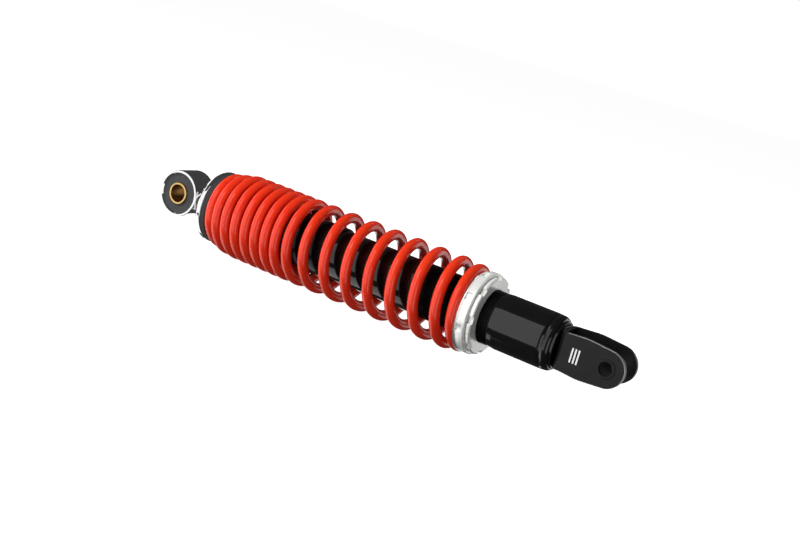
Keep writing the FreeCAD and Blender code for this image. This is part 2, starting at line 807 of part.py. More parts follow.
def clevis_thread_insert():
    """Pressed threaded bush in one ear, with a thin flange on the outer face."""
    outer_y = -CLEVIS_WIDTH / 2 - INSERT_FLANGE
    length = SHEET + INSERT_FLANGE
    point = V(EYE_TO_CLEVIS, outer_y, 0)
    flange = Part.makeCylinder(INSERT_FLANGE_RADIUS, INSERT_FLANGE, point, V(0, 1, 0))
    shank = Part.makeCylinder(INSERT_RADIUS, length, point, V(0, 1, 0))
    bore = Part.makeCylinder(M8_MINOR_RADIUS, length, point, V(0, 1, 0))
    mouth = Part.makeCone(
        M8_MINOR_RADIUS + INSERT_CHAMFER, M8_MINOR_RADIUS, INSERT_CHAMFER, point, V(0, 1, 0)
    )
    return flange.fuse(shank).cut(bore).cut(mouth).removeSplitter()


def build():
    """Make every piece and write it."""
    os.makedirs("parts", exist_ok=True)
    valve_shim_x = VALVE_X - SHIM_STACK
    nut_bore = ROD_RADIUS
    save("upper_eye", upper_eye())
    save("eye_bush", eye_bush())
    save("eye_sleeve", eye_sleeve())
    save("top_spring_cup", top_spring_cup())
    save("spring_isolator", spring_isolator())
    save("upper_spring_seat", upper_spring_seat())
    save("dust_sleeve", dust_sleeve())
    save("coil_spring", coil_spring())
    save("damper_rod", damper_rod())
    save("rod_lock_nut", hexagon(NUT_X, LOCK_NUT_THICKNESS, NUT_FLATS, nut_bore))
    save("bump_stop_washer", tube(BUMP_WASHER_X, BUMP_X, BUMP_WASHER_RADIUS, ROD_RADIUS))
    save("bump_stop", bump_stop())
    save("rebound_stop", tube(STOP_X, SHOULDER_X, REBOUND_STOP_RADIUS, ROD_RADIUS))
    save("piston_washer", tube(SHOULDER_X, UPPER_SHIM_X, BACKING_RADIUS, ROD_END_RADIUS))
    save("compression_shims", shim_stack(PISTON_X, -1))
    save("piston", piston())
    save("piston_band", piston_band())
    save("rebound_shims", shim_stack(LOWER_SHIM_X, 1))
    save(
        "piston_nut",
        hexagon(PISTON_NUT_X, PISTON_NUT_THICKNESS, PISTON_NUT_FLATS, ROD_END_RADIUS),
    )
    save("body_tube", body_tube())
    save("dust_wiper", dust_wiper())
    save("seal_washer", tube(LIP_X, OIL_SEAL_X, TUBE_BORE_RADIUS, ROD_RADIUS + GAP))
    save("oil_seal", tube(OIL_SEAL_X, GUIDE_X, TUBE_BORE_RADIUS, ROD_RADIUS + RUN_FIT))
    save("rod_guide", rod_guide())
    save("guide_o_ring", guide_o_ring())
    save(
        "inner_cylinder",
        tube(CYLINDER_X, VALVE_FLANGE_X, CYLINDER_RADIUS + CYLINDER_WALL, CYLINDER_RADIUS),
    )
    save("base_valve", base_valve())
    save("base_valve_shims", tube(valve_shim_x, VALVE_X, SHIM_RADIUS, VALVE_BOLT_RADIUS))
    save("base_valve_bolt", base_valve_bolt())
    save(
        "base_valve_nut",
        hexagon(
            valve_shim_x - VALVE_NUT_THICKNESS,
            VALVE_NUT_THICKNESS,
            VALVE_NUT_FLATS,
            VALVE_BOLT_RADIUS,
        ),
    )
    save("body_end_cap", body_end_cap())
    save("preload_ring", preload_ring())
    save("lock_ring", lock_ring())
    save("spring_seat_washer", spring_seat_washer())
    save("clevis", clevis())
    save("clevis_thread_insert", clevis_thread_insert())


build()
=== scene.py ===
"""Rear shock absorber: its looks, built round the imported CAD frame.

Metres, in the CAD's frame. X runs along the damper from the eye to the clevis, Y along
both bolt holes and Z up. The origin is the centre of the eye.
"""

import logging
import math
from collections.abc import Iterable, Sequence
from dataclasses import dataclass
from enum import Enum

import bmesh
import bpy
from bmesh.types import BMEdge, BMFace, BMVert, BMesh
from bpy.types import Material, NodeSocket, Object
from mathutils import Matrix, Vector


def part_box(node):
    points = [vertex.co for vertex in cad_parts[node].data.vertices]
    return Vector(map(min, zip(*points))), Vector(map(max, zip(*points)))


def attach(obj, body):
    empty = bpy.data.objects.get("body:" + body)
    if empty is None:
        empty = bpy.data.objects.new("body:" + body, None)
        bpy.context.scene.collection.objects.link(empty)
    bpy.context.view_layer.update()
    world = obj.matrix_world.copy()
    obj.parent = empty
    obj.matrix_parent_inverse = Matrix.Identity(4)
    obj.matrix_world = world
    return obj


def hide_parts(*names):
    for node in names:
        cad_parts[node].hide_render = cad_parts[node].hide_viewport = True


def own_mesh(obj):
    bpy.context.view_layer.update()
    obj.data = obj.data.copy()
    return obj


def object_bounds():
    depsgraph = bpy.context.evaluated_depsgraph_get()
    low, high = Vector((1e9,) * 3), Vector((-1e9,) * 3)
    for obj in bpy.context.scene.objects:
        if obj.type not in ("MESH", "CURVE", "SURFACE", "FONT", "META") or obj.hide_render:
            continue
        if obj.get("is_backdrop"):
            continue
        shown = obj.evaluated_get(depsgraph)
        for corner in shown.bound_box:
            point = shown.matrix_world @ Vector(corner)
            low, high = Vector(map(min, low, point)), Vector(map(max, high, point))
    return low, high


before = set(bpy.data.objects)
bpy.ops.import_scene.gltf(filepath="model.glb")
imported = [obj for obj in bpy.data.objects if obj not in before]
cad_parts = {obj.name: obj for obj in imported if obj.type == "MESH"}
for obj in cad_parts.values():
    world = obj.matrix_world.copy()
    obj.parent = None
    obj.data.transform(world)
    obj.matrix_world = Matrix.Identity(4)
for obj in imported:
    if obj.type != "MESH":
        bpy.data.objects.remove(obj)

LOG = logging.getLogger("shock_absorber")
MM = 0.001
TURN = 2 * math.pi
TINY = 1e-7
NEAR = 1e-6
WELD_DISTANCE = TINY * 20
AHEAD = Vector((1, 0, 0))

Corner = tuple[float, float, float]
Colour = tuple[float, float, float]


class Axis(Enum):
    """The line that a turned piece is turned about."""

    DAMPER = "x"
    BOLT = "y"


class Pattern(Enum):
    """The surface pattern that a finish carries."""

    PEEL = "sprayed or dipped coat"
    TURNED_DAMPER = "lathe marks about the damper's axis"
    TURNED_BOLT = "lathe marks about the bolt's axis"
    GRAIN = "fine moulded or sintered grain"
    CELLS = "open foam cells"
    DRAWN = "marks drawn along the damper"


class Graph:
    """Adds nodes to one material and wires them to its shader."""

    def __init__(self, name: str) -> None:
        """Start a material with a shader, an output and Object coordinates.

        Args:
            name: The material's name.
        """
        self.material: Material = bpy.data.materials.new(name)
        self.material.use_nodes = True
        self.tree = self.material.node_tree
        self.tree.nodes.clear()
        output = self.tree.nodes.new("ShaderNodeOutputMaterial")
        self.shader = self.tree.nodes.new("ShaderNodeBsdfPrincipled")
        self.tree.links.new(self.shader.outputs["BSDF"], output.inputs["Surface"])
        self.place: NodeSocket = self.tree.nodes.new("ShaderNodeTexCoord").outputs["Object"]

    def wire(self, source: NodeSocket, target: NodeSocket) -> None:
        """Link one socket to another."""
        self.tree.links.new(source, target)

    def scaled(self, factors: Sequence[float]) -> NodeSocket:
        """Object coordinates, each axis multiplied by its own factor.

        Args:
            factors: One factor for each axis.

        Returns:
            The scaled position.
        """
        node = self.tree.nodes.new("ShaderNodeVectorMath")
        node.operation = "MULTIPLY"
        self.wire(self.place, node.inputs[0])
        node.inputs[1].default_value = factors
        return node.outputs["Vector"]

    def noise(
        self, scale: float, detail: float = 2.0, stretch: Sequence[float] = (1, 1, 1)
    ) -> NodeSocket:
        """Noise between 0 and 1.

        Args:
            scale: Cells to the metre.
            detail: Octaves of finer noise.
            stretch: Factors that squeeze the noise along each axis.

        Returns:
            The noise's value.
        """
        node = self.tree.nodes.new("ShaderNodeTexNoise")
        self.wire(self.scaled(stretch), node.inputs["Vector"])
        node.inputs["Scale"].default_value = scale
        node.inputs["Detail"].default_value = detail
        return node.outputs["Fac"]

    def cells(self, scale: float) -> NodeSocket:
        """Distance to the nearest of many scattered points.

        Args:
            scale: Points to the metre.

        Returns:
            The distance, in cells.
        """
        node = self.tree.nodes.new("ShaderNodeTexVoronoi")
        self.wire(self.place, node.inputs["Vector"])
        node.inputs["Scale"].default_value = scale
        return node.outputs["Distance"]

    def lines(self, value: NodeSocket, scale: float) -> NodeSocket:
        """Irregular lines: one-dimensional noise along a value.

        Args:
            value: The value that the lines are crossed by.
            scale: Lines to the metre.

        Returns:
            The noise's value.
        """
        node = self.tree.nodes.new("ShaderNodeTexNoise")
        node.noise_dimensions = "1D"
        self.wire(value, node.inputs["W"])
        node.inputs["Scale"].default_value = scale
        node.inputs["Detail"].default_value = 3.0
        return node.outputs["Fac"]

    def along_and_out(self, axis: Axis) -> tuple[NodeSocket, NodeSocket]:
        """Position along an axis, and distance from it.

        Args:
            axis: The axis.

        Returns:
            The two values.
        """
        across = (0, 1, 1) if axis is Axis.DAMPER else (1, 0, 1)
        length = self.tree.nodes.new("ShaderNodeVectorMath")
        length.operation = "LENGTH"
        self.wire(self.scaled(across), length.inputs[0])
        split = self.tree.nodes.new("ShaderNodeSeparateXYZ")
        self.wire(self.place, split.inputs["Vector"])
        return split.outputs[axis.value.upper()], length.outputs["Value"]

    def math(
        self, operation: str, first: NodeSocket, second: NodeSocket | float
    ) -> NodeSocket:
        """One sum.

        Args:
            operation: The Math node's operation.
            first: The first value.
            second: The second value, as a socket or a number.

        Returns:
            The result.
        """
        node = self.tree.nodes.new("ShaderNodeMath")
        node.operation = operation
        self.wire(first, node.inputs[0])
        if isinstance(second, float):
            node.inputs[1].default_value = second
        else:
            self.wire(second, node.inputs[1])
        return node.outputs["Value"]

    def ranged(
        self, value: NodeSocket, low: float, high: float, at: Sequence[float] = (0.3, 0.7)
    ) -> NodeSocket:
        """Stretch a value over a new range.

        Args:
            value: The value.
            low: What the lower end becomes.
            high: What the upper end becomes.
            at: The ends of the value's own range.

        Returns:
            The stretched value, held between low and high.
        """
        node = self.tree.nodes.new("ShaderNodeMapRange")
        self.wire(value, node.inputs["Value"])
        node.inputs["From Min"].default_value = at[0]
        node.inputs["From Max"].default_value = at[1]
        node.inputs["To Min"].default_value = low
        node.inputs["To Max"].default_value = high
        return node.outputs["Result"]

    def blend(self, factor: NodeSocket, first: Colour, second: Colour) -> NodeSocket:
        """Mix two colours.

        Args:
            factor: 0 for the first colour and 1 for the second.
            first: The first colour.
            second: The second colour.

        Returns:
            The mixed colour.
        """
        node = self.tree.nodes.new("ShaderNodeMix")
        node.data_type = "RGBA"
        self.wire(factor, node.inputs["Factor"])
        node.inputs["A"].default_value = (*first, 1)
        node.inputs["B"].default_value = (*second, 1)
        return node.outputs["Result"]

    def bump(
        self, height: NodeSocket, depth: float, strength: float,
        under: NodeSocket | None = None,
    ) -> NodeSocket:
        """Raise the surface by a height.

        Args:
            height: The height, from 0 to 1.
            depth: What a height of 1 stands for, in metres.
            strength: How much of it shows.
            under: A bump that lies below this one.

        Returns:
            The bumped normal.
        """
        node = self.tree.nodes.new("ShaderNodeBump")
        node.inputs["Strength"].default_value = strength
        node.inputs["Distance"].default_value = depth
        self.wire(height, node.inputs["Height"])
        if under is not None:
            self.wire(under, node.inputs["Normal"])
        return node.outputs["Normal"]


@dataclass(frozen=True)
class Finish:
    """One procedural finish: two near colours mixed in patches, a roughness range and a
    pattern.
    """

    name: str
    colour: Colour
    second: Colour
    metallic: float
    rough: tuple[float, float]
    pattern: Pattern
    scale: float
    depth: float
    strength: float = 0.5
    coat: float = 0.0
    coat_rough: float = 0.05
    ior: float = 1.5
    patch_scale: float = 60.0

    def build(self) -> Material:
        """Make the material, or give back the one already made.

        Returns:
            The material.
        """
        made = bpy.data.materials.get(self.name)
        if made is not None:
            return made
        graph = Graph(self.name)
        shader = graph.shader
        shader.inputs["Metallic"].default_value = self.metallic
        shader.inputs["IOR"].default_value = self.ior
        shader.inputs["Coat Weight"].default_value = self.coat
        shader.inputs["Coat Roughness"].default_value = self.coat_rough
        pattern = self.height(graph)
        patches = graph.noise(self.patch_scale, 3.0)
        share = graph.math("MULTIPLY", pattern, 0.4)
        patchy = graph.math("ADD", graph.math("MULTIPLY", patches, 0.6), share)
        graph.wire(
            graph.blend(graph.ranged(patchy, 0.0, 1.0), self.colour, self.second),
            shader.inputs["Base Color"],
        )
        smudge = graph.noise(self.patch_scale * 3.7, 4.0)
        low, high = self.rough
        graph.wire(graph.ranged(smudge, low, high), shader.inputs["Roughness"])
        fine = graph.bump(pattern, self.depth, self.strength)
        graph.wire(fine, shader.inputs["Normal"])
        return graph.material

    def height(self, graph: Graph) -> NodeSocket:
        """The pattern's height.

        Args:
            graph: The material's graph.

        Returns:
            The height, from 0 to 1.
        """
        if self.pattern is Pattern.CELLS:
            return graph.cells(self.scale)
        if self.pattern is Pattern.GRAIN:
            return graph.noise(self.scale, 5.0)
        if self.pattern is Pattern.DRAWN:
            return graph.noise(self.scale, 3.0, (0.04, 1, 1))
        if self.pattern is Pattern.PEEL:
            return graph.noise(self.scale, 1.0)
        axis = Axis.DAMPER if self.pattern is Pattern.TURNED_DAMPER else Axis.BOLT
        along, out = graph.along_and_out(axis)
        marks = graph.lines(along, self.scale)
        rings = graph.lines(out, self.scale)
        return graph.math("MULTIPLY", graph.math("ADD", marks, rings), 0.5)


SPRING_COAT = Finish(
    "spring_powder_coat", (0.83, 0.044, 0.012), (0.72, 0.027, 0.008), 0.0, (0.13, 0.22),
    Pattern.PEEL, 650.0, 0.00002, 0.14, ior=1.50, patch_scale=25.0,
)
GROUND_STEEL = Finish(
    "ground_steel", (0.46, 0.46, 0.47), (0.58, 0.58, 0.59), 1.0, (0.3, 0.45),
    Pattern.GRAIN, 2600.0, 0.00002,
)
CHROME = Finish(
    "polished_chrome", (0.90, 0.905, 0.91), (0.84, 0.85, 0.86), 1.0, (0.05, 0.11),
    Pattern.PEEL, 160.0, 0.00002, 0.12,
)
RUBBER = Finish(
    "bush_rubber", (0.011, 0.011, 0.0105), (0.020, 0.020, 0.018), 0.0, (0.42, 0.56),
    Pattern.GRAIN, 1500.0, 0.00005, 0.4, ior=1.38,
)
ISOLATOR_RUBBER = Finish(
    "isolator_rubber", (0.0045, 0.0045, 0.0045), (0.008, 0.008, 0.0078), 0.0, (0.45, 0.6),
    Pattern.GRAIN, 1300.0, 0.00005, 0.4, ior=1.20,
)
BRASS = Finish(
    "turned_brass", (0.86, 0.60, 0.25), (0.74, 0.47, 0.17), 1.0, (0.16, 0.28),
    Pattern.TURNED_BOLT, 5200.0, 0.00002, 0.35,
)
# Darker, rougher brass for the faces inside the sleeve's bore.
BRASS_BORE = Finish(
    "darker_brass_bore", (0.40, 0.21, 0.06), (0.28, 0.14, 0.04), 1.0, (0.35, 0.5),
    Pattern.TURNED_BOLT, 4200.0, 0.00003, 0.4,
)
BODY_GLOSS = Finish(
    "body_gloss_black", (0.0045, 0.0045, 0.0047), (0.0065, 0.0063, 0.0064), 0.0, (0.07, 0.13),
    Pattern.PEEL, 420.0, 0.00001, 0.18, ior=1.52,
)
THREAD_BLACK = Finish(
    "thread_black", (0.004, 0.004, 0.004), (0.007, 0.007, 0.0065), 0.0, (0.4, 0.55),
    Pattern.GRAIN, 1500.0, 0.00001, 0.2, ior=1.25,
)
CLEVIS_SATIN = Finish(
    "clevis_satin_black", (0.005, 0.005, 0.0053), (0.008, 0.008, 0.0083), 0.0, (0.30, 0.40),
    Pattern.PEEL, 900.0, 0.00002, 0.2, ior=1.33,
)
# Lighter grey paint on the near ear's outline: a painted edge highlight.
EDGE_HIGHLIGHT_PAINT = Finish(
    "clevis_painted_edge_highlight", (0.30, 0.31, 0.30), (0.55, 0.56, 0.55), 0.6, (0.25, 0.4),
    Pattern.PEEL, 1300.0, 0.00003, 0.4,
)
RING_ALLOY = Finish(
    "turned_alloy", (0.92, 0.93, 0.90), (0.84, 0.85, 0.82), 0.25, (0.20, 0.30),
    Pattern.TURNED_DAMPER, 2200.0, 0.00003, 0.2, patch_scale=20.0,
)
ZINC = Finish(
    "zinc_plate", (0.60, 0.61, 0.62), (0.50, 0.52, 0.56), 1.0, (0.26, 0.4),
    Pattern.GRAIN, 1800.0, 0.00002,
)
ROD_CHROME = Finish(
    "hard_chrome", (0.78, 0.79, 0.80), (0.70, 0.71, 0.73), 1.0, (0.07, 0.12),
    Pattern.DRAWN, 3000.0, 0.00001, 0.2,
)
SLEEVE_PLASTIC = Finish(
    "sleeve_black_plastic", (0.0045, 0.0045, 0.0048), (0.007, 0.007, 0.007), 0.0, (0.14, 0.22),
    Pattern.DRAWN, 900.0, 0.00001, 0.2, ior=1.3,
)
FOAM = Finish(
    "bump_foam", (0.050, 0.050, 0.047), (0.085, 0.084, 0.080), 0.0, (0.7, 0.85),
    Pattern.CELLS, 1700.0, 0.0002, 0.7,
)
NYLON = Finish(
    "stop_nylon", (0.72, 0.70, 0.62), (0.78, 0.76, 0.69), 0.0, (0.4, 0.5),
    Pattern.GRAIN, 1200.0, 0.00003,
)
VALVE_STEEL = Finish(
    "valve_steel", (0.48, 0.49, 0.51), (0.56, 0.57, 0.59), 1.0, (0.2, 0.32),
    Pattern.TURNED_DAMPER, 4200.0, 0.00002,
)
SINTERED = Finish(
    "sintered_steel", (0.24, 0.24, 0.25), (0.34, 0.34, 0.35), 0.9, (0.45, 0.6),
    Pattern.GRAIN, 3200.0, 0.00006, 0.6,
)
BAND_PLASTIC = Finish(
    "band_plastic", (0.26, 0.17, 0.10), (0.34, 0.23, 0.14), 0.0, (0.45, 0.55),
    Pattern.GRAIN, 2000.0, 0.00002,
)
NITRILE = Finish(
    "nitrile_rubber", (0.022, 0.022, 0.022), (0.032, 0.032, 0.031), 0.0, (0.4, 0.5),
    Pattern.GRAIN, 1400.0, 0.00002,
)
GUIDE_ALLOY = Finish(
    "guide_alloy", (0.68, 0.69, 0.70), (0.60, 0.61, 0.62), 1.0, (0.24, 0.36),
    Pattern.TURNED_DAMPER, 3400.0, 0.00002,
)
HONED = Finish(
    "honed_tube", (0.52, 0.53, 0.55), (0.60, 0.61, 0.63), 1.0, (0.18, 0.28),
    Pattern.GRAIN, 4000.0, 0.00001,
)
PRINT_WHITE = Finish(
    "pad_print_white", (0.78, 0.78, 0.76), (0.84, 0.84, 0.83), 0.0, (0.4, 0.5),
    Pattern.GRAIN, 2400.0, 0.00001,
)

CARRIED_OVER = {
    "upper_spring_seat": ZINC,
    "spring_isolator": ISOLATOR_RUBBER,
    "dust_sleeve": SLEEVE_PLASTIC,
    "damper_rod": ROD_CHROME,
    "rod_lock_nut": ZINC,
    "bump_stop_washer": ZINC,
    "bump_stop": FOAM,
    "rebound_stop": NYLON,
    "piston_washer": VALVE_STEEL,
    "compression_shims": VALVE_STEEL,
    "piston": SINTERED,
    "piston_band": BAND_PLASTIC,
    "rebound_shims": VALVE_STEEL,
    "piston_nut": ZINC,
    "dust_wiper": NITRILE,
    "seal_washer": VALVE_STEEL,
    "oil_seal": NITRILE,
    "rod_guide": GUIDE_ALLOY,
    "guide_o_ring": NITRILE,
    "inner_cylinder": HONED,
    "base_valve": SINTERED,
    "base_valve_shims": VALVE_STEEL,
    "base_valve_bolt": ZINC,
    "base_valve_nut": ZINC,
}


def profile_edges(mesh: BMesh, corners: Sequence[Corner], segments: int) -> list[BMEdge]:
    """Draw a closed profile with rounded corners, in the XY plane.

    Args:
        mesh: The mesh to draw in.
        corners: (along, radius, round) for each corner, in order.
        segments: Facets in each round.

    Returns:
        The profile's edges, without those that lie on the axis.
    """
    verts = [mesh.verts.new((along, out, 0)) for along, out, _ in corners]
    mesh.faces.new(verts)
    count = len(corners)
    spots = [Vector(vert.co) for vert in verts]
    for i, (_, _, radius) in enumerate(corners):
        if not radius:
            continue
        back = (spots[i - 1] - spots[i]).normalized()
        on = (spots[(i + 1) % count] - spots[i]).normalized()
        reach = radius / math.tan(back.angle(on) / 2)
        bmesh.ops.bevel(
            mesh, geom=[verts[i]], offset=reach, offset_type="OFFSET", segments=segments,
            profile=0.5, affect="VERTICES", material=-1, clamp_overlap=False,
        )
    bmesh.ops.delete(mesh, geom=list(mesh.faces), context="FACES_ONLY")
    on_axis = [
        edge for edge in mesh.edges if all(abs(vert.co.y) < TINY for vert in edge.verts)
    ]
    bmesh.ops.delete(mesh, geom=on_axis, context="EDGES")
    return list(mesh.edges)


def close_up(mesh: BMesh) -> None:
    """Merge doubled vertices and turn every face outwards.

    Args:
        mesh: The closed mesh.
    """
    bmesh.ops.remove_doubles(mesh, verts=mesh.verts, dist=TINY * 10)
    bmesh.ops.recalc_face_normals(mesh, faces=mesh.faces)


def turned(
    corners: Sequence[Corner], axis: Axis = Axis.DAMPER, steps: int = 96, segments: int = 4
) -> BMesh:
    """Turn a closed profile about an axis.

    Args:
        corners: (along, radius, round) for each corner, in order.
        axis: The axis to turn about.
        steps: Facets round the axis.
        segments: Facets in each rounded corner.

    Returns:
        The closed solid.
    """
    mesh = bmesh.new()
    edges = profile_edges(mesh, corners, segments)
    geometry = list({vert for edge in edges for vert in edge.verts}) + edges
    bmesh.ops.spin(
        mesh, geom=geometry, cent=(0, 0, 0), axis=AHEAD, dvec=(0, 0, 0), angle=TURN,
        steps=steps, use_merge=True, use_duplicate=False,
    )
    close_up(mesh)
    if axis is Axis.BOLT:
        bmesh.ops.rotate(
            mesh, verts=mesh.verts, cent=(0, 0, 0), matrix=Matrix.Rotation(TURN / 4, 3, "Z")
        )
    return mesh


def screw(
    mesh: BMesh, verts: Sequence[BMVert], edges: Sequence[BMEdge], pitch: float,
    turns: float, steps: int,
) -> None:
    """Carry a closed section along a screw line: one turn, its copies and the rest.

    Args:
        mesh: The mesh that holds the section.
        verts: The section's vertices.
        edges: The section's edges.
        pitch: Travel in a turn.
        turns: Number of turns.
        steps: Facets in a turn.
    """
    whole = int(turns)
    rest = round((turns - whole) * steps)
    section = list(verts) + list(edges)
    if rest:
        tail = bmesh.ops.duplicate(mesh, geom=section)["geom"]
        tail_verts = [item for item in tail if isinstance(item, BMVert)]
        bmesh.ops.translate(mesh, verts=tail_verts, vec=(pitch * whole, 0, 0))
        bmesh.ops.spin(
            mesh, geom=tail, cent=(0, 0, 0), axis=AHEAD, dvec=(pitch / steps, 0, 0),
            angle=TURN * rest / steps, steps=rest, use_merge=False, use_duplicate=False,
        )
    others = set(mesh.verts) - set(verts)
    bmesh.ops.spin(
        mesh, geom=section, cent=(0, 0, 0), axis=AHEAD, dvec=(pitch / steps, 0, 0),
        angle=TURN, steps=steps, use_merge=False, use_duplicate=False,
    )
    turn_verts = [vert for vert in mesh.verts if vert not in others]
    turn_edges = {edge for vert in turn_verts for edge in vert.link_edges}
    turn_faces = {face for vert in turn_verts for face in vert.link_faces}
    turn = turn_verts + list(turn_edges) + list(turn_faces)
    for number in range(1, whole):
        copy = bmesh.ops.duplicate(mesh, geom=turn)["geom"]
        moved = [item for item in copy if isinstance(item, BMVert)]
        bmesh.ops.translate(mesh, verts=moved, vec=(pitch * number, 0, 0))
    bmesh.ops.remove_doubles(mesh, verts=mesh.verts, dist=WELD_DISTANCE)


def helix(
    section: Sequence[tuple[float, float]], start: float, pitch: float, turns: float,
    steps: int,
) -> BMesh:
    """Sweep a closed section along a screw line about the damper's axis.

    Args:
        section: (along, radius) for each corner of the section, in order.
        start: Where the section starts, along the axis.
        pitch: Travel in a turn.
        turns: Number of turns.
        steps: Facets in a turn.

    Returns:
        The closed ridge.
    """
    mesh = bmesh.new()
    verts = [mesh.verts.new((start + along, out, 0)) for along, out in section]
    first = mesh.faces.new(verts)
    edges = list(first.edges)
    bmesh.ops.delete(mesh, geom=[first], context="FACES_ONLY")
    screw(mesh, verts, edges, pitch, turns, steps)
    open_edges = [edge for edge in mesh.edges if edge.is_boundary]
    bmesh.ops.holes_fill(mesh, edges=open_edges, sides=0)
    close_up(mesh)
    return mesh


def finished(
    name: str, mesh: BMesh, finishes: Iterable[Finish], body: str,
    replaces: Sequence[str] = (), bevel: float = 0.0, edge_finish: int = -1,
) -> Object:
    """Turn a mesh into a piece: smooth, dressed and riding on its body.

    Args:
        name: The piece's name.
        mesh: The mesh, which is freed.
        finishes: The finishes, in the order of the mesh's material numbers.
        body: The body that it rides on.
        replaces: The CAD nodes that it stands for.
        bevel: Width of the bevel along its sharp edges.
        edge_finish: Material number of the bevels, or -1 for the face's own.

    Returns:
        The piece.
    """
    data = bpy.data.meshes.new(name)
    for face in mesh.faces:
        face.smooth = True
    mesh.to_mesh(data)
    mesh.free()
    for finish in finishes:
        data.materials.append(finish.build())
    piece = bpy.data.objects.new(name, data)
    bpy.context.scene.collection.objects.link(piece)
    if bevel:
        edge = piece.modifiers.new("edge_bevel", "BEVEL")
        edge.width = bevel
        edge.segments = 3
        edge.limit_method = "ANGLE"
        edge.angle_limit = math.radians(40)
        edge.material = edge_finish
    weighted = piece.modifiers.new("flat_faces", "WEIGHTED_NORMAL")
    weighted.weight = 80
    weighted.keep_sharp = False
    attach(piece, body)
    if replaces:
        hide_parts(*replaces)
    LOG.info("%s rides on %s", name, body)
    return piece


@dataclass
class UpperEye:
    """The eye ring, its neck and weld, the rubber bush and the brass sleeve."""

    edge_round: float = 0.5 * MM
    lip_chamfer: float = 0.9 * MM
    neck_radius: float = 9.0 * MM
    neck_sink: float = 0.6 * MM
    bead_radius: float = 1.3 * MM
    rubber_dish: float = 0.35 * MM
    sleeve_round: float = 0.35 * MM
    sleeve_bore: float = 6.1 * MM
    sleeve_stand: float = 0.2 * MM
    bush_play: float = 0.03 * MM
    body: str = "rod_assembly"

    def build(self) -> None:
        """Make every piece of the eye."""
        low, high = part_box("upper_eye")
        self.outer = -low.x
        bush_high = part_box("eye_bush")[1]
        self.inner = bush_high.x
        self.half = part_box("eye_sleeve")[1].y - self.sleeve_stand
        self.bush_half = bush_high.y
        self.sleeve_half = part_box("eye_sleeve")[1].y
        self.sleeve_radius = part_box("eye_sleeve")[1].x
        self.cup_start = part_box("top_spring_cup")[0].x
        self.neck_end = high.x
        self.ring()
        self.neck()
        self.weld()
        self.bush()
        self.sleeve()

    def ring(self) -> Object:
        """Make the chromed eye ring."""
        half, rounding = self.half, self.edge_round
        corners = [
            (-half + self.lip_chamfer, self.inner, 0.2 * MM),
            (-half, self.inner + self.lip_chamfer * 0.8, 0.3 * MM),
            (-half, self.outer, rounding),
            (half, self.outer, rounding),
            (half, self.inner + self.lip_chamfer * 0.8, 0.3 * MM),
            (half - self.lip_chamfer, self.inner, 0.2 * MM),
        ]
        mesh = turned(corners, Axis.BOLT, 128, 6)
        return finished(
            "eye_ring", mesh, [CHROME], self.body, ["upper_eye"]
        )

    def saddle(self, vert: BMVert) -> float:
        """How far along the damper the ring's outside is, at a vertex's height."""
        return math.sqrt(max(self.outer**2 - vert.co.z**2, TINY))

    def neck(self) -> Object:
        """Make the neck, its near end saddled on to the ring."""
        flare = self.neck_radius + 2.0 * MM
        corners = [
            (-1.0 * MM, 0.0, 0),
            (-1.0 * MM, self.neck_radius, 0),
            (2.0 * MM, self.neck_radius, 0),
            (self.cup_start - 2.0 * MM, self.neck_radius, 3.0 * MM),
            (self.cup_start + 0.5 * MM, flare, 0.5 * MM),
            (self.cup_start + 2.0 * MM, self.neck_radius, 0),
            (self.neck_end, self.neck_radius, 0.3 * MM),
            (self.neck_end, 0.0, 0),
        ]
        mesh = turned(corners, steps=96)
        for vert in mesh.verts:
            if vert.co.x < 0:
                vert.co.x = self.saddle(vert) - self.neck_sink
            elif vert.co.x < 3.0 * MM:
                vert.co.x = min(self.saddle(vert) + 0.3 * MM, self.cup_start - 2.2 * MM)
        return finished("eye_neck", mesh, [CHROME], self.body)

    def weld(self) -> Object:
        """Make the smooth bead where the neck meets the ring."""
        mesh = bmesh.new()
        circle = bmesh.ops.create_circle(
            mesh, cap_ends=False, segments=16, radius=self.bead_radius
        )
        verts = circle["verts"]
        bmesh.ops.translate(mesh, verts=verts, vec=(0, self.neck_radius, 0))
        bmesh.ops.spin(
            mesh, geom=verts + list(mesh.edges), cent=(0, 0, 0), axis=AHEAD,
            dvec=(0, 0, 0), angle=TURN, steps=96, use_merge=True, use_duplicate=False,
        )
        for vert in mesh.verts:
            vert.co.x += self.saddle(vert)
        close_up(mesh)
        return finished("eye_weld", mesh, [CHROME], self.body)

    def bush(self) -> Object:
        """Make the rubber bush, dished a little between the ring and the sleeve."""
        half = self.bush_half
        dish = self.rubber_dish
        bore = self.sleeve_radius + self.bush_play
        rim = self.inner - 0.05 * MM
        side = [
            (half, bore, 0.15 * MM),
            (half, bore + 1.0 * MM, 0.3 * MM),
            (half - dish, bore + 1.6 * MM, 0.5 * MM),
            (half - dish, rim - 1.4 * MM, 0.5 * MM),
            (half, rim - 0.7 * MM, 0.3 * MM),
            (half, rim, 0.1 * MM),
        ]
        mirrored = [(-along, out, radius) for along, out, radius in reversed(side)]
        mesh = turned(side + mirrored, Axis.BOLT, 96, 3)
        return finished(
            "eye_bush_rubber", mesh, [RUBBER], self.body, ["eye_bush"]
        )

    def sleeve(self) -> Object:
        """Make the brass sleeve with its rounded rims."""
        half = self.sleeve_half
        bore = self.sleeve_bore
        corners = [
            (-half, bore, self.sleeve_round),
            (-half, self.sleeve_radius, self.sleeve_round),
            (half, self.sleeve_radius, self.sleeve_round),
            (half, bore, self.sleeve_round),
        ]
        mesh = turned(corners, Axis.BOLT, 96, 4)
        # Faces inside the bore get the darker brass.
        for face in mesh.faces:
            centre = face.calc_center_median()
            face.material_index = int(math.hypot(centre.x, centre.z) < bore + 0.02 * MM)
        return finished(
            "eye_sleeve_brass", mesh, [BRASS, BRASS_BORE], "bolt_sleeve",
            ["eye_sleeve"],
        )


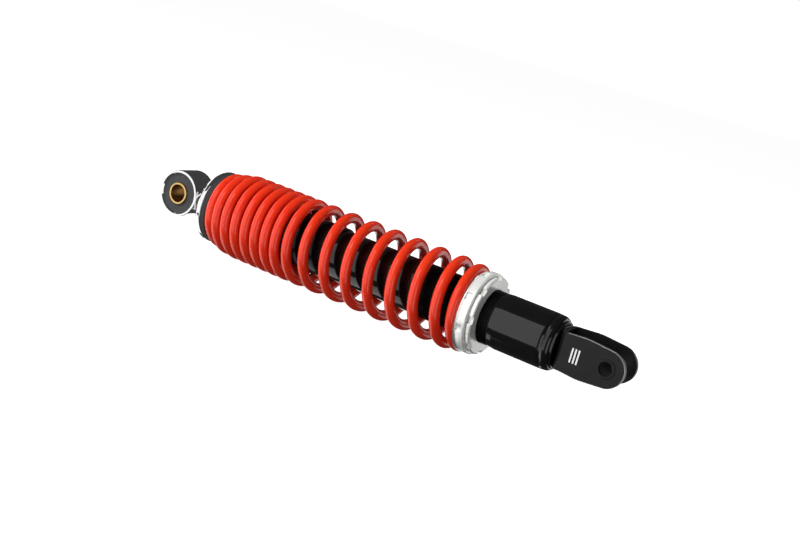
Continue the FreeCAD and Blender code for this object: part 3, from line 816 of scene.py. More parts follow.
@dataclass
class SpringCup:
    """The pressed and chromed cup that the spring's first coil sits in."""

    wall: float = 2.2 * MM
    outer: float = 25.0 * MM
    shoulder: float = 28.5 * MM
    shoulder_radius: float = 23.3 * MM
    mouth_radius: float = 9.0 * MM
    foot_radius: float = 11.0 * MM
    body: str = "rod_assembly"

    def build(self) -> Object:
        """Make the cup."""
        low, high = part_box("top_spring_cup")
        start, end = low.x, high.x
        outer = self.outer
        inner = outer - self.wall
        corners = [
            (start, self.mouth_radius, 0),
            (start, self.foot_radius, 0.6 * MM),
            (self.shoulder, self.shoulder_radius, 3.0 * MM),
            (self.shoulder + 2.2 * MM, outer, 1.6 * MM),
            (end, outer, 0.6 * MM),
            (end, inner, 0.3 * MM),
            (self.shoulder + self.wall, inner, 0),
            (self.shoulder + self.wall, self.shoulder_radius - self.wall, 0),
            (start + self.wall, self.mouth_radius, 0),
        ]
        mesh = turned(corners, steps=128, segments=6)
        return finished(
            "spring_cup_chrome", mesh, [CHROME], self.body, ["top_spring_cup"]
        )


@dataclass
class CoilSpring:
    """The progressive coil spring: tight coils by the eye, wide ones by the rings."""

    wire_radius: float = 3.5 * MM
    coil_radius: float = 25.9 * MM
    top_coil_radius: float = 22.4 * MM
    collar_coil_radius: float = 24.1 * MM
    closed_pitch: float = 7.45 * MM
    tight_pitch: float = 8.4 * MM
    turns: float = 16.74
    ground_depth: float = 3.0 * MM
    start_angle: float = math.radians(46.0)
    draw_in_top: float = 2.2
    draw_in_collar: float = 1.5
    knots: tuple[float, ...] = (0.0, 0.9, 1.6, 7.5, 9.8, 14.8, 16.5, 16.74)
    steps_per_turn: int = 100
    section_facets: int = 24
    sweep_pitch: float = 50.0 * MM
    travel: float = 60.0 * MM

    def pitch(self, turn: float, extra: float) -> float:
        """Rise in a turn, at a turn number.

        Args:
            turn: The turn number.
            extra: What the wide coils have beyond the tight ones' pitch.

        Returns:
            The pitch there.
        """
        closed, tight = self.closed_pitch, self.tight_pitch
        wide = tight + extra
        values = (closed, closed, tight, tight, wide, wide, closed, closed)
        for i in range(len(self.knots) - 1):
            low, high = self.knots[i], self.knots[i + 1]
            if turn <= high:
                share = (turn - low) / (high - low)
                return values[i] + share * (values[i + 1] - values[i])
        return closed

    def rise(self, extra: float) -> list[float]:
        """Place along the axis at the end of each facet, from the first.

        Args:
            extra: What the wide coils have beyond the tight ones' pitch.

        Returns:
            The places.
        """
        count = round(self.turns * self.steps_per_turn)
        step = self.turns / count
        places = [0.0]
        for i in range(count):
            places.append(places[-1] + self.pitch((i + 0.5) * step, extra) * step)
        return places

    def mean_radius(self, turn: float) -> float:
        """Mean coil radius, drawn in towards both ends.

        Args:
            turn: The turn number.

        Returns:
            The radius there.
        """
        top = min(1.0, max(0.0, turn / self.draw_in_top))
        collar = min(1.0, max(0.0, (self.turns - turn) / self.draw_in_collar))
        ease_top = top * top * (3 - 2 * top)
        ease_collar = collar * collar * (3 - 2 * collar)
        radius = self.coil_radius
        radius -= (self.coil_radius - self.top_coil_radius) * (1 - ease_top)
        radius -= (self.coil_radius - self.collar_coil_radius) * (1 - ease_collar)
        return radius

    def build(self) -> Object:
        """Make the spring, its ends ground flat."""
        low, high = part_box("coil_spring")
        start = low.x + self.wire_radius - self.ground_depth
        span = high.x - low.x - 2 * (self.wire_radius - self.ground_depth)
        plain = self.rise(0.0)[-1]
        extra = (span - plain) / ((self.rise(MM)[-1] - plain) / MM)
        places = self.rise(extra)
        mesh = self.swept()
        self.settle(mesh, start, places)
        self.grind(mesh, low.x, -1)
        self.grind(mesh, high.x, 1)
        piece = finished(
            "coil_spring_red", mesh, [SPRING_COAT, GROUND_STEEL], "spring_carrier",
            ["coil_spring"],
        )
        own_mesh(piece)
        return piece

    def swept(self) -> BMesh:
        """Sweep the wire's section round an even, widely spaced screw line."""
        mesh = bmesh.new()
        circle = bmesh.ops.create_circle(
            mesh, cap_ends=False, segments=self.section_facets, radius=self.wire_radius
        )
        bmesh.ops.translate(mesh, verts=circle["verts"], vec=(0, self.coil_radius, 0))
        screw(
            mesh, circle["verts"], list(mesh.edges), self.sweep_pitch, self.turns,
            self.steps_per_turn,
        )
        open_edges = [edge for edge in mesh.edges if edge.is_boundary]
        bmesh.ops.holes_fill(mesh, edges=open_edges, sides=0)
        close_up(mesh)
        return mesh

    def settle(self, mesh: BMesh, start: float, places: list[float]) -> None:
        """Move the even screw line's sections to the spring's own pitch and radius.

        Args:
            mesh: The swept wire.
            start: Where the first section's centre goes, along the axis.
            places: The rise at the end of each facet.
        """
        count = len(places) - 1
        for vert in mesh.verts:
            angle = math.atan2(vert.co.z, vert.co.y) / TURN
            turn = round(vert.co.x / self.sweep_pitch - angle) + angle
            beyond = vert.co.x - turn * self.sweep_pitch
            out = math.hypot(vert.co.y, vert.co.z) - self.coil_radius
            facet = min(max(turn / self.turns * count, 0.0), float(count))
            index = min(int(facet), count - 1)
            share = facet - index
            along = places[index] + share * (places[index + 1] - places[index])
            radius = self.mean_radius(turn) + out
            at = self.start_angle + TURN * turn
            vert.co = (start + along + beyond, radius * math.cos(at), radius * math.sin(at))

    def grind(self, mesh: BMesh, place: float, side: int) -> None:
        """Cut the wire off flat and close the cut with bare steel.

        Args:
            mesh: The wire.
            place: Where the flat lies, along the axis.
            side: -1 to cut below the flat and 1 to cut beyond it.
        """
        geometry = list(mesh.verts) + list(mesh.edges) + list(mesh.faces)
        bmesh.ops.bisect_plane(
            mesh, geom=geometry, dist=TINY, plane_co=(place, 0, 0), plane_no=(side, 0, 0),
            clear_outer=True,
        )
        open_edges = [edge for edge in mesh.edges if edge.is_boundary]
        made = bmesh.ops.holes_fill(mesh, edges=open_edges, sides=0)
        for face in made["faces"]:
            face.material_index = 1
        bmesh.ops.recalc_face_normals(mesh, faces=mesh.faces)


@dataclass
class DamperBody:
    """The outer tube, its thread and the cap at the clevis end."""

    wall: float = 2.0 * MM
    lip_bore: float = 10.5 * MM
    lip: float = 1.8 * MM
    smooth_radius: float = 17.0 * MM
    root_radius: float = 16.5 * MM
    crest_radius: float = 17.25 * MM
    thread_start: float = 196.5 * MM
    thread_end: float = 254.5 * MM
    pitch: float = 1.5 * MM
    outer: float = 17.6 * MM
    cap_outer: float = 17.48 * MM
    cap_foot: float = 15.2 * MM
    flank: float = 0.55 * MM
    crest: float = 0.12 * MM
    thread_facets: int = 48
    body: str = "damper_body"

    def build(self) -> None:
        """Make every piece of the body."""
        self.tube()
        self.thread()
        self.cap()

    def tube(self) -> Object:
        """Make the tube, from its rolled lip to the cap."""
        low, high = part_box("body_tube")
        outer = self.outer
        bore = self.smooth_radius - self.wall
        corners = [
            (low.x, self.lip_bore, 0.4 * MM),
            (low.x, self.smooth_radius, 1.6 * MM),
            (self.thread_start, self.smooth_radius, 0),
            (self.thread_start + 0.6 * MM, self.root_radius, 0),
            (self.thread_end - 0.6 * MM, self.root_radius, 0.2 * MM),
            (self.thread_end + 0.4 * MM, outer - 0.25 * MM, 0.3 * MM),
            (self.thread_end + 3.4 * MM, outer, 4.0 * MM),
            (high.x - 3.0 * MM, outer, 4.0 * MM),
            (high.x, outer - 0.12 * MM, 0),
            (high.x, bore, 0),
            (low.x + self.lip, bore, 0),
            (low.x + self.lip, self.lip_bore, 0),
        ]
        mesh = turned(corners, steps=128, segments=5)
        for face in mesh.faces:
            along = face.calc_center_median().x
            in_thread = self.thread_start < along < self.thread_end + 0.3 * MM
            face.material_index = int(in_thread)
        return finished(
            "body_tube_black", mesh, [BODY_GLOSS, THREAD_BLACK], self.body,
            ["body_tube"],
        )

    def thread(self) -> Object:
        """Make the preload thread as a raised screw line."""
        flank, crest = self.flank, self.crest
        section = [
            (-flank, self.root_radius - 0.05 * MM),
            (-crest, self.crest_radius),
            (crest, self.crest_radius),
            (flank, self.root_radius - 0.05 * MM),
        ]
        start = self.thread_start + self.pitch
        turns = (self.thread_end - self.thread_start - 2 * self.pitch) / self.pitch
        mesh = helix(section, start, self.pitch, turns, self.thread_facets)
        return finished("preload_thread", mesh, [THREAD_BLACK], self.body)

    def cap(self) -> Object:
        """Make the cap, with its rounded shoulder and raised foot."""
        low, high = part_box("body_end_cap")
        tube_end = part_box("body_tube")[1].x
        bore = self.smooth_radius - self.wall
        outer, foot = self.cap_outer, self.cap_foot
        corners = [
            (low.x, 0.0, 0),
            (low.x, bore, 0),
            (tube_end + 0.02 * MM, bore, 0),
            (tube_end + 0.02 * MM, outer, 0),
            (high.x - 1.6 * MM, outer - 0.4 * MM, 3.2 * MM),
            (high.x - 1.6 * MM, foot, 0.3 * MM),
            (high.x - 0.02 * MM, foot, 0.6 * MM),
            (high.x - 0.02 * MM, 0.0, 0),
        ]
        mesh = turned(corners, steps=128, segments=8)
        return finished(
            "body_end_cap_black", mesh, [BODY_GLOSS], self.body, ["body_end_cap"]
        )


@dataclass
class PreloadRings:
    """The slip washer and the two notched rings that hold the spring's preload."""

    bore: float = 17.3 * MM
    notch_count: int = 8
    steps_in_notch: int = 4
    steps_to_next: int = 16
    notch_depth: float = 2.2 * MM
    notch_length: float = 4.0 * MM
    lock_face_round: float = 0.7 * MM
    lead: float = 1.4 * MM
    lead_drop: float = 0.9 * MM
    preload_angle: float = math.radians(16.0)
    lock_angle: float = math.radians(46.0)
    hub_radius: float = 20.1 * MM
    washer_bore: float = 20.4 * MM
    preload_radius: float = 26.4 * MM
    lock_radius: float = 25.0 * MM
    face_bevel: float = 0.4 * MM
    edge: float = 0.28 * MM

    def build(self) -> None:
        """Make the washer and both rings."""
        self.washer()
        self.preload_ring()
        self.lock_ring()

    def washer(self) -> Object:
        """Make the thin washer between the spring and the preload ring."""
        low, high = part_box("spring_seat_washer")
        corners = [
            (low.x, self.washer_bore, 0.2 * MM),
            (low.x, high.z, 0.3 * MM),
            (high.x, high.z, 0.3 * MM),
            (high.x, self.washer_bore, 0.2 * MM),
        ]
        mesh = turned(corners, steps=128, segments=2)
        return finished(
            "spring_seat_washer_alloy", mesh, [RING_ALLOY], "spring_carrier",
            ["spring_seat_washer"],
        )

    def preload_ring(self) -> Object:
        """Make the spring-side ring, with the hub that centres the last coil."""
        low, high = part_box("preload_ring")
        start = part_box("spring_seat_washer")[1].x + 0.05 * MM
        radius = self.preload_radius
        corners = [
            (low.x, self.bore, 0),
            (low.x, self.hub_radius, 0),
            (start, self.hub_radius, 0),
            (start, radius - self.notch_depth, 0),
            (start, radius - self.lead_drop, 0),
            (start + self.lead, radius, 0),
            (start + self.notch_length, radius, 0),
            (high.x - self.face_bevel, radius, 0),
            (high.x, radius - self.face_bevel, 0),
            (high.x, self.bore, 0),
        ]
        mesh = self.notched(corners, start, radius, self.preload_angle, self.notch_length)
        return finished(
            "preload_ring_alloy", mesh, [RING_ALLOY], "preload_nut",
            ["preload_ring"], self.edge,
        )

    def lock_ring(self) -> Object:
        """Make the clevis-side ring, notched through its whole thickness."""
        low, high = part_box("lock_ring")
        radius = self.lock_radius
        corners = [
            (low.x, self.bore, 0),
            (low.x, radius - self.notch_depth, 0),
            (low.x, radius - self.lead_drop, 0),
            (low.x + self.lead, radius, 0),
            (high.x - self.lock_face_round, radius, 0),
            (high.x, radius - self.lock_face_round, 0),
            (high.x, radius - self.notch_depth, 0),
            (high.x, self.bore, 0),
        ]
        mesh = self.notched(corners, low.x, radius, self.lock_angle, high.x - low.x)
        return finished(
            "lock_ring_alloy", mesh, [RING_ALLOY], "lock_nut",
            ["lock_ring"], self.edge,
        )

    def in_notch(self, face: BMFace, start: float, radius: float, length: float) -> bool:
        """Whether a face lies in the block that a notch takes away.

        Args:
            face: The face.
            start: The ring's spring side.
            radius: The ring's outer radius.
            length: The notch's length along the damper.

        Returns:
            True if it does.
        """
        centre = face.calc_center_median()
        spacing = TURN / self.notch_count
        angle = math.atan2(centre.z, centre.y)
        off = abs((angle + spacing / 2) % spacing - spacing / 2)
        half = spacing * self.steps_in_notch / self.steps_to_next / 2
        out = math.hypot(centre.y, centre.z)
        beside = start - TINY < centre.x < start + length + TINY
        return off < half and out > radius - self.notch_depth + TINY and beside

    def notched(
        self, corners: Sequence[Corner], start: float, radius: float, first: float,
        length: float,
    ) -> BMesh:
        """Turn a ring and sink its spanner notches.

        Args:
            corners: The ring's profile.
            start: The ring's spring side.
            radius: The ring's outer radius.
            first: The first notch's angle.
            length: The notches' length along the damper.

        Returns:
            The notched ring.
        """
        mesh = turned(corners, steps=self.notch_count * self.steps_to_next)
        block = [face for face in mesh.faces if self.in_notch(face, start, radius, length)]
        bmesh.ops.delete(mesh, geom=block, context="FACES")
        floor_radius = radius - self.notch_depth
        back = start + length
        front = [
            edge for edge in mesh.edges
            if edge.is_boundary and self.lies_at(edge, start, floor_radius)
        ]
        made = bmesh.ops.extrude_edge_only(mesh, edges=front)["geom"]
        moved = [item for item in made if isinstance(item, BMVert)]
        bmesh.ops.translate(mesh, verts=moved, vec=(length, 0, 0))
        bmesh.ops.remove_doubles(mesh, verts=mesh.verts, dist=WELD_DISTANCE)
        rear = [
            edge for edge in mesh.edges
            if edge.is_boundary
            and (self.lies_at(edge, back, floor_radius) or self.lies_at(edge, back, radius))
        ]
        for edges in self.by_notch(rear):
            bmesh.ops.bridge_loops(mesh, edges=edges)
        open_edges = [edge for edge in mesh.edges if edge.is_boundary]
        bmesh.ops.holes_fill(mesh, edges=open_edges, sides=0)
        close_up(mesh)
        bmesh.ops.rotate(
            mesh, verts=mesh.verts, cent=(0, 0, 0), matrix=Matrix.Rotation(first, 3, "X")
        )
        return mesh

    def lies_at(self, edge: BMEdge, place: float, radius: float) -> bool:
        """Whether both ends of an edge lie at a place along the axis and a radius."""
        return all(
            abs(vert.co.x - place) < NEAR
            and abs(math.hypot(vert.co.y, vert.co.z) - radius) < NEAR
            for vert in edge.verts
        )

    def by_notch(self, edges: Sequence[BMEdge]) -> list[list[BMEdge]]:
        """Sort edges by the notch that they belong to.

        Args:
            edges: The edges.

        Returns:
            One list for each notch.
        """
        groups: dict[int, list[BMEdge]] = {}
        for edge in edges:
            middle = (edge.verts[0].co + edge.verts[1].co) / 2
            spacing = TURN / self.notch_count
            number = round(math.atan2(middle.z, middle.y) / spacing) % self.notch_count
            groups.setdefault(number, []).append(edge)
        return list(groups.values())


@dataclass
class LowerClevis:
    """The bent sheet clevis, its threaded insert, its welds and a plain printed mark."""

    sheet: float = 3.0 * MM
    bend: float = 5.5 * MM
    base_half: float = 11.9 * MM
    wide_half: float = 12.9 * MM
    wide_back: float = 15.0 * MM
    tip_radius: float = 11.6 * MM
    hole_x: float = 330.0 * MM
    insert_radius: float = 5.0 * MM
    clear_radius: float = 4.3 * MM
    shoulder_round: float = 3.0 * MM
    highlight_bevel: float = 0.4 * MM
    edge: float = 0.25 * MM
    insert_flange: float = 5.9 * MM
    insert_mouth: float = 4.5 * MM
    insert_bore: float = 3.9 * MM
    bolt_pitch: float = 1.25 * MM
    bolt_root: float = 3.95 * MM
    bolt_crest: float = 3.42 * MM
    bead_length: float = 15.0 * MM
    bead_radius: float = 1.25 * MM
    bead_rings: int = 60
    ripple_pitch: float = 1.3 * MM
    mark_bar: tuple[float, float] = (1.0 * MM, 9.0 * MM)
    mark_from: float = 11.0 * MM
    mark_spacing: float = 2.1 * MM
    mark_depth: float = 0.04 * MM
    bend_steps: int = 10
    tip_facets: int = 24
    body: str = "damper_body"

    def build(self) -> None:
        """Make every piece of the clevis."""
        low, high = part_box("clevis")
        self.base_x = low.x
        self.half_width = high.y
        self.sheet_metal()
        self.insert()
        self.insert_thread()
        self.welds()
        self.mark()

    def ear(self, mesh: BMesh, hole_radius: float, side: int) -> None:
        """Make one ear's outer face, its bend and half of the base, with no thickness.

        Args:
            mesh: The mesh to add to.
            hole_radius: The radius of the ear's hole.
            side: -1 for the near ear and 1 for the far one.
        """
        own = bmesh.new()
        wide_x = self.hole_x - self.wide_back
        reach = math.hypot(self.wide_back, self.wide_half)
        slope = math.asin(self.tip_radius / reach) - math.atan2(self.wide_half, self.wide_back)
        tip_x = self.hole_x + self.tip_radius
        corner_z = self.wide_half + math.tan(slope) * (tip_x - wide_x)
        start_x = self.base_x + self.bend
        outline = [
            (start_x, self.base_half), (wide_x, self.wide_half), (tip_x, corner_z),
            (tip_x, -corner_z), (wide_x, -self.wide_half), (start_x, -self.base_half),
        ]
        verts = [own.verts.new((x, 0, z)) for x, z in outline]
        own.faces.new(verts)
        own.verts.ensure_lookup_table()
        for tip in (verts[2], verts[3]):
            bmesh.ops.bevel(
                own, geom=[tip], offset=corner_z, offset_type="OFFSET",
                segments=self.tip_facets, profile=0.5, affect="VERTICES", material=-1,
                clamp_overlap=False,
            )
        for shoulder in (verts[1], verts[4]):
            bmesh.ops.bevel(
                own, geom=[shoulder], offset=self.shoulder_round, offset_type="OFFSET",
                segments=6, profile=0.5, affect="VERTICES", material=-1,
                clamp_overlap=False,
            )
        bmesh.ops.delete(own, geom=list(own.faces), context="FACES_ONLY")
        bmesh.ops.remove_doubles(own, verts=own.verts, dist=NEAR)
        hole = bmesh.ops.create_circle(own, cap_ends=False, segments=40, radius=hole_radius)
        bmesh.ops.rotate(
            own, verts=hole["verts"], cent=(0, 0, 0), matrix=Matrix.Rotation(TURN / 4, 3, "X")
        )
        bmesh.ops.translate(own, verts=hole["verts"], vec=(self.hole_x, 0, 0))
        bmesh.ops.triangle_fill(own, use_beauty=True, use_dissolve=False, edges=own.edges)
        bmesh.ops.translate(own, verts=own.verts, vec=(0, side * self.half_width, 0))
        root = [
            edge for edge in own.edges
            if all(abs(vert.co.x - start_x) < NEAR for vert in edge.verts)
        ]
        centre = (start_x, side * (self.half_width - self.bend), 0)
        geometry = list({vert for edge in root for vert in edge.verts}) + root
        swung = bmesh.ops.spin(
            own, geom=geometry, cent=centre, axis=(0, 0, 1), dvec=(0, 0, 0),
            angle=side * TURN / 4, steps=self.bend_steps, use_merge=False,
            use_duplicate=False,
        )
        last = [item for item in swung["geom_last"] if isinstance(item, BMEdge)]
        made = bmesh.ops.extrude_edge_only(own, edges=last)["geom"]
        moved = [item for item in made if isinstance(item, BMVert)]
        shift = -side * (self.half_width - self.bend)
        bmesh.ops.translate(own, verts=moved, vec=(0, shift, 0))
        bridge = bpy.data.meshes.new("ear")
        own.to_mesh(bridge)
        own.free()
        mesh.from_mesh(bridge)
        bpy.data.meshes.remove(bridge)

    def sheet_metal(self) -> Object:
        """Make the bent sheet from its two ears."""
        mesh = bmesh.new()
        self.ear(mesh, self.insert_radius, -1)
        self.ear(mesh, self.clear_radius, 1)
        bmesh.ops.remove_doubles(mesh, verts=mesh.verts, dist=NEAR)
        bmesh.ops.recalc_face_normals(mesh, faces=mesh.faces)
        outward = sum(
            face.normal.y * face.calc_center_median().y * face.calc_area()
            for face in mesh.faces
        )
        if outward < 0:
            bmesh.ops.reverse_faces(mesh, faces=mesh.faces)
        bmesh.ops.solidify(mesh, geom=list(mesh.faces), thickness=self.sheet)
        bmesh.ops.recalc_face_normals(mesh, faces=mesh.faces)
        # The near ear's outline is bevelled in the lighter paint, a painted edge highlight.
        highlight_edges = [edge for edge in mesh.edges if self.is_highlight_edge(edge)]
        bmesh.ops.bevel(
            mesh, geom=highlight_edges, offset=self.highlight_bevel, offset_type="OFFSET", segments=2,
            profile=0.5, affect="EDGES", material=1, clamp_overlap=True,
        )
        return finished(
            "clevis_sheet", mesh, [CLEVIS_SATIN, EDGE_HIGHLIGHT_PAINT], self.body,
            ["clevis"], self.edge,
        )

    def is_highlight_edge(self, edge: BMEdge) -> bool:
        """Whether an edge is on the outer face's outline of the threaded ear, where lighter
        paint stands for a painted edge highlight.

        Args:
            edge: The edge.

        Returns:
            True if it is, away from the hole.
        """
        if len(edge.link_faces) != 2 or edge.calc_face_angle() < 1.0:
            return False
        middle = (edge.verts[0].co + edge.verts[1].co) / 2
        off_hole = math.hypot(middle.x - self.hole_x, middle.z) > self.insert_radius + 1.0 * MM
        return off_hole and middle.y < -self.half_width + 0.01 * MM

    def insert(self) -> Object:
        """Make the pressed-in bush that carries the bolt's thread."""
        low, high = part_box("clevis_thread_insert")
        corners = [
            (low.y, self.insert_mouth, 0.15 * MM),
            (low.y, self.insert_flange, 0.3 * MM),
            (low.y + 0.5 * MM, self.insert_flange, 0),
            (low.y + 0.5 * MM, self.insert_radius, 0),
            (high.y, self.insert_radius, 0.1 * MM),
            (high.y, self.insert_bore, 0.1 * MM),
            (low.y + 0.6 * MM, self.insert_bore, 0.1 * MM),
        ]
        mesh = turned(corners, Axis.BOLT, 64, 3)
        bmesh.ops.translate(mesh, verts=mesh.verts, vec=(self.hole_x, 0, 0))
        return finished(
            "clevis_insert", mesh, [CLEVIS_SATIN], self.body,
            ["clevis_thread_insert"],
        )

    def insert_thread(self) -> Object:
        """Make the bolt's thread inside the insert."""
        low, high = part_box("clevis_thread_insert")
        section = [
            (-0.5 * MM, self.bolt_root), (-0.1 * MM, self.bolt_crest),
            (0.1 * MM, self.bolt_crest), (0.5 * MM, self.bolt_root),
        ]
        start = low.y + 1.1 * MM
        turns = (high.y - start - 0.6 * MM) / self.bolt_pitch
        mesh = helix(section, start, self.bolt_pitch, turns, 40)
        bmesh.ops.rotate(
            mesh, verts=mesh.verts, cent=(0, 0, 0), matrix=Matrix.Rotation(TURN / 4, 3, "Z")
        )
        bmesh.ops.translate(mesh, verts=mesh.verts, vec=(self.hole_x, 0, 0))
        return finished(
            "clevis_insert_thread", mesh, [CLEVIS_SATIN], self.body
        )

    def welds(self) -> None:
        """Make the two rippled beads that join the clevis to the end cap."""
        for side, name in ((-1, "clevis_weld_lower"), (1, "clevis_weld_upper")):
            self.bead(name, side)

    def bead(self, name: str, side: int) -> Object:
        """Make one weld bead along an edge of the clevis's base.

        Args:
            name: The bead's name.
            side: -1 for the lower edge and 1 for the upper one.

        Returns:
            The bead.
        """
        length, rings = self.bead_length, self.bead_rings
        mesh = bmesh.new()
        made = bmesh.ops.create_circle(
            mesh, cap_ends=False, segments=14, radius=self.bead_radius
        )
        bmesh.ops.rotate(
            mesh, verts=made["verts"], cent=(0, 0, 0), matrix=Matrix.Rotation(TURN / 4, 3, "X")
        )
        bmesh.ops.translate(mesh, verts=made["verts"], vec=(0, -length / 2, 0))
        edges = list(mesh.edges)
        for _ in range(rings):
            pushed = bmesh.ops.extrude_edge_only(mesh, edges=edges)["geom"]
            verts = [item for item in pushed if isinstance(item, BMVert)]
            edges = [
                item for item in pushed
                if isinstance(item, BMEdge) and all(vert in verts for vert in item.verts)
            ]
            bmesh.ops.translate(mesh, verts=verts, vec=(0, length / rings, 0))
        open_edges = [edge for edge in mesh.edges if edge.is_boundary]
        bmesh.ops.holes_fill(mesh, edges=open_edges, sides=0)
        close_up(mesh)
        for vert in mesh.verts:
            along = vert.co.y / length + 0.5
            ends = math.sqrt(max(0.04, 1 - (2 * along - 1) ** 8))
            bow = 0.6 * MM * (2 * along - 1) ** 2
            ripple = 1 + 0.07 * math.sin(vert.co.y / self.ripple_pitch * TURN)
            vert.co.x *= ends * ripple
            vert.co.z *= ends * ripple
            vert.co.z -= bow
        bmesh.ops.translate(
            mesh, verts=mesh.verts,
            vec=(self.base_x - 0.2 * MM, 0, self.base_half + 0.1 * MM),
        )
        if side < 0:
            bmesh.ops.rotate(
                mesh, verts=mesh.verts, cent=(self.base_x, 0, 0),
                matrix=Matrix.Rotation(TURN / 2, 3, "X"),
            )
        return finished(name, mesh, [BODY_GLOSS], self.body)

    def mark(self) -> None:
        """Print three plain bars on the near ear."""
        for number in range(3):
            mesh = bmesh.new()
            bmesh.ops.create_grid(mesh, x_segments=1, y_segments=1, size=0.5)
            bmesh.ops.scale(mesh, verts=mesh.verts, vec=(*self.mark_bar, 1))
            bmesh.ops.bevel(
                mesh, geom=list(mesh.verts), offset=0.3 * MM, offset_type="OFFSET",
                segments=4, profile=0.5, affect="VERTICES", material=-1, clamp_overlap=True,
            )
            bmesh.ops.rotate(
                mesh, verts=mesh.verts, cent=(0, 0, 0),
                matrix=Matrix.Rotation(TURN / 4, 3, "X"),
            )
            bmesh.ops.solidify(mesh, geom=list(mesh.faces), thickness=self.mark_depth)
            x = self.base_x + self.mark_from + number * self.mark_spacing
            bmesh.ops.translate(
                mesh, verts=mesh.verts, vec=(x, -self.half_width - 0.01 * MM, 0)
            )
            bmesh.ops.recalc_face_normals(mesh, faces=mesh.faces)
            name = f"clevis_mark_{number + 1}"
            finished(name, mesh, [PRINT_WHITE], self.body)


class Internals:
    """The CAD pieces that are shown as they are."""

    def build(self) -> None:
        """Give each one its finish."""
        for name, finish in CARRIED_OVER.items():
            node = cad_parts[name]
            for slot in node.material_slots:
                slot.material = finish.build()
            LOG.info("%s keeps its CAD shape", name)


@dataclass(frozen=True)
class Panel:
    """One soft panel: its place, width and height, and its brightness, where 1 is white."""

    name: str
    at: tuple[float, float, float]
    size: tuple[float, float]
    brightness: float
    seen: bool = True
    upright: bool = False

    def build(self, target: Vector) -> Object:
        """Make the panel.

        Args:
            target: What it faces, unless it stands upright.

        Returns:
            The lamp.
        """
        at = Vector(self.at)
        data = bpy.data.lights.new(self.name, "AREA")
        data.shape = "RECTANGLE"
        data.size, data.size_y = self.size
        data.energy = self.brightness * math.pi * self.size[0] * self.size[1]
        lamp = bpy.data.objects.new(self.name, data)
        bpy.context.scene.collection.objects.link(lamp)
        if self.upright:
            target = Vector((at.x, 0, at.z))
        facing = (at - target).to_track_quat("Z", "Y").to_matrix().to_4x4()
        lamp.matrix_world = Matrix.Translation(at) @ facing
        lamp.visible_glossy = self.seen
        lamp.visible_camera = False
        return lamp


PANELS = (
    Panel("front_panel", (-0.25, -0.85, 0.45), (1.1, 1.9), 1.15, upright=True),
    Panel("end_panel", (-0.95, -0.10, 0.25), (0.8, 0.8), 1.3),
    Panel("low_end_panel", (-0.71, 0.53, -0.12), (0.36, 0.55), 1.3),
    Panel("under_panel", (-0.42, -0.15, -0.40), (0.6, 1.0), 1.2),
    Panel("right_panel", (0.80, -0.55, -0.10), (0.45, 0.8), 1.3),
    Panel("far_right_panel", (0.62, 0.85, -0.10), (0.5, 0.9), 1.2),
    Panel("low_back_panel", (-0.38, 0.75, -0.50), (0.45, 0.35), 1.3),
    Panel("key_panel", (-0.25, -0.75, 0.8), (0.5, 0.5), 15.0, seen=False),
    Panel("back_fill", (0.30, 0.95, 0.55), (0.6, 0.6), 6.0, seen=False),
)


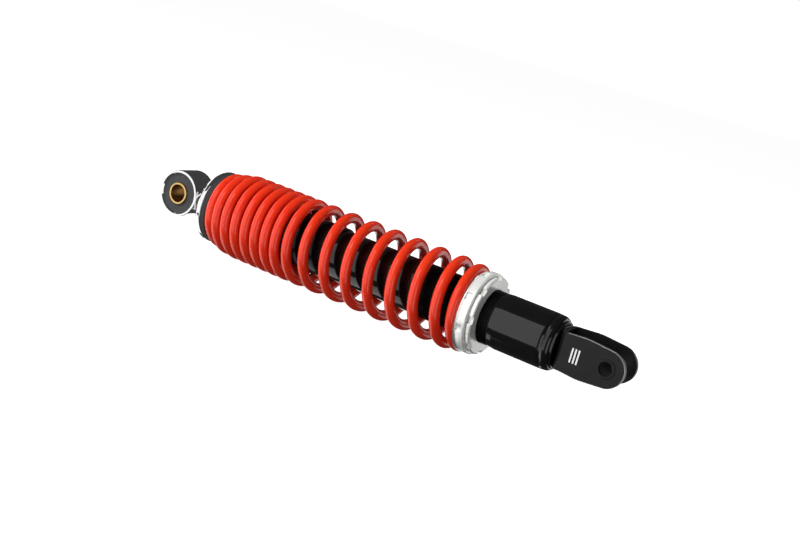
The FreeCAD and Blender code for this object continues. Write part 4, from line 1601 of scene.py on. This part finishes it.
@dataclass
class Studio:
    """The pale floor, the soft lights, the surroundings and the camera."""

    middle: tuple[float, float, float] = (0.18, 0, 0)
    floor_gap: float = 0.6 * MM
    floor_size: float = 12.0
    floor_x: float = 0.16
    floor_shades: tuple[float, float] = (0.40, 0.42)
    floor_glow: float = 0.96
    room_shade: float = 0.05
    sensor_width: float = 36.0
    lens: float = 53.393
    camera_at: tuple[float, float, float] = (0.518383, -0.653978, 0.172013)
    camera_rows: tuple[tuple[float, float, float], ...] = (
        (0.828647, -0.332730, 0.450150),
        (0.495799, 0.062941, -0.866154),
        (0.259863, 0.940919, 0.217123),
    )

    def build(self) -> None:
        """Make the whole studio."""
        self.floor()
        self.surroundings()
        self.lights()
        self.camera()
        bpy.context.scene.view_settings.view_transform = "Standard"

    def floor(self) -> Object:
        """Make the floor just under the spring."""
        mesh = bmesh.new()
        bmesh.ops.create_grid(mesh, x_segments=1, y_segments=1, size=self.floor_size / 2)
        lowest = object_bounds()[0].z - self.floor_gap
        bmesh.ops.translate(mesh, verts=mesh.verts, vec=(self.floor_x, 0, lowest))
        data = bpy.data.meshes.new("floor")
        mesh.to_mesh(data)
        mesh.free()
        floor = bpy.data.objects.new("floor", data)
        bpy.context.scene.collection.objects.link(floor)
        graph = Graph("pale_floor")
        soft = graph.noise(1.5, 1.0)
        graph.wire(
            graph.blend(soft, *((shade,) * 3 for shade in self.floor_shades)),
            graph.shader.inputs["Base Color"],
        )
        graph.shader.inputs["Roughness"].default_value = 0.9
        graph.shader.inputs["Specular IOR Level"].default_value = 0.0
        graph.shader.inputs["Emission Color"].default_value = (1, 1, 1, 1)
        graph.shader.inputs["Emission Strength"].default_value = self.floor_glow
        data.materials.append(graph.material)
        floor.visible_glossy = False
        floor.visible_diffuse = False
        floor.visible_shadow = False
        floor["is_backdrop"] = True
        return floor

    def surroundings(self) -> None:
        """Make a dim room that shows in the chrome, with white behind the object."""
        world = bpy.data.worlds.new("studio")
        bpy.context.scene.world = world
        world.use_nodes = True
        tree = world.node_tree
        tree.nodes.clear()
        output = tree.nodes.new("ShaderNodeOutputWorld")
        mix = tree.nodes.new("ShaderNodeMixShader")
        path = tree.nodes.new("ShaderNodeLightPath")
        room = tree.nodes.new("ShaderNodeBackground")
        white = tree.nodes.new("ShaderNodeBackground")
        room.inputs["Color"].default_value = (*(self.room_shade,) * 3, 1)
        white.inputs["Color"].default_value = (1, 1, 1, 1)
        tree.links.new(path.outputs["Is Camera Ray"], mix.inputs["Fac"])
        tree.links.new(room.outputs["Background"], mix.inputs[1])
        tree.links.new(white.outputs["Background"], mix.inputs[2])
        tree.links.new(mix.outputs["Shader"], output.inputs["Surface"])

    def lights(self) -> None:
        """Place the panels round the middle of the shock absorber."""
        for panel in PANELS:
            panel.build(Vector(self.middle))

    def camera(self) -> None:
        """Place the camera."""
        data = bpy.data.cameras.new("camera")
        data.lens = self.lens
        data.sensor_width = self.sensor_width
        data.clip_start = 0.01
        camera = bpy.data.objects.new("camera", data)
        bpy.context.scene.collection.objects.link(camera)
        turn = Matrix(self.camera_rows).to_4x4()
        camera.matrix_world = Matrix.Translation(self.camera_at) @ turn
        bpy.context.scene.camera = camera


def main() -> None:
    """Build the shock absorber and its studio."""
    logging.basicConfig(level=logging.INFO, format="%(name)s: %(message)s")
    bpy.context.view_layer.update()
    Internals().build()
    UpperEye().build()
    SpringCup().build()
    CoilSpring().build()
    DamperBody().build()
    PreloadRings().build()
    LowerClevis().build()
    Studio().build()


if __name__ == "__main__":
    main()
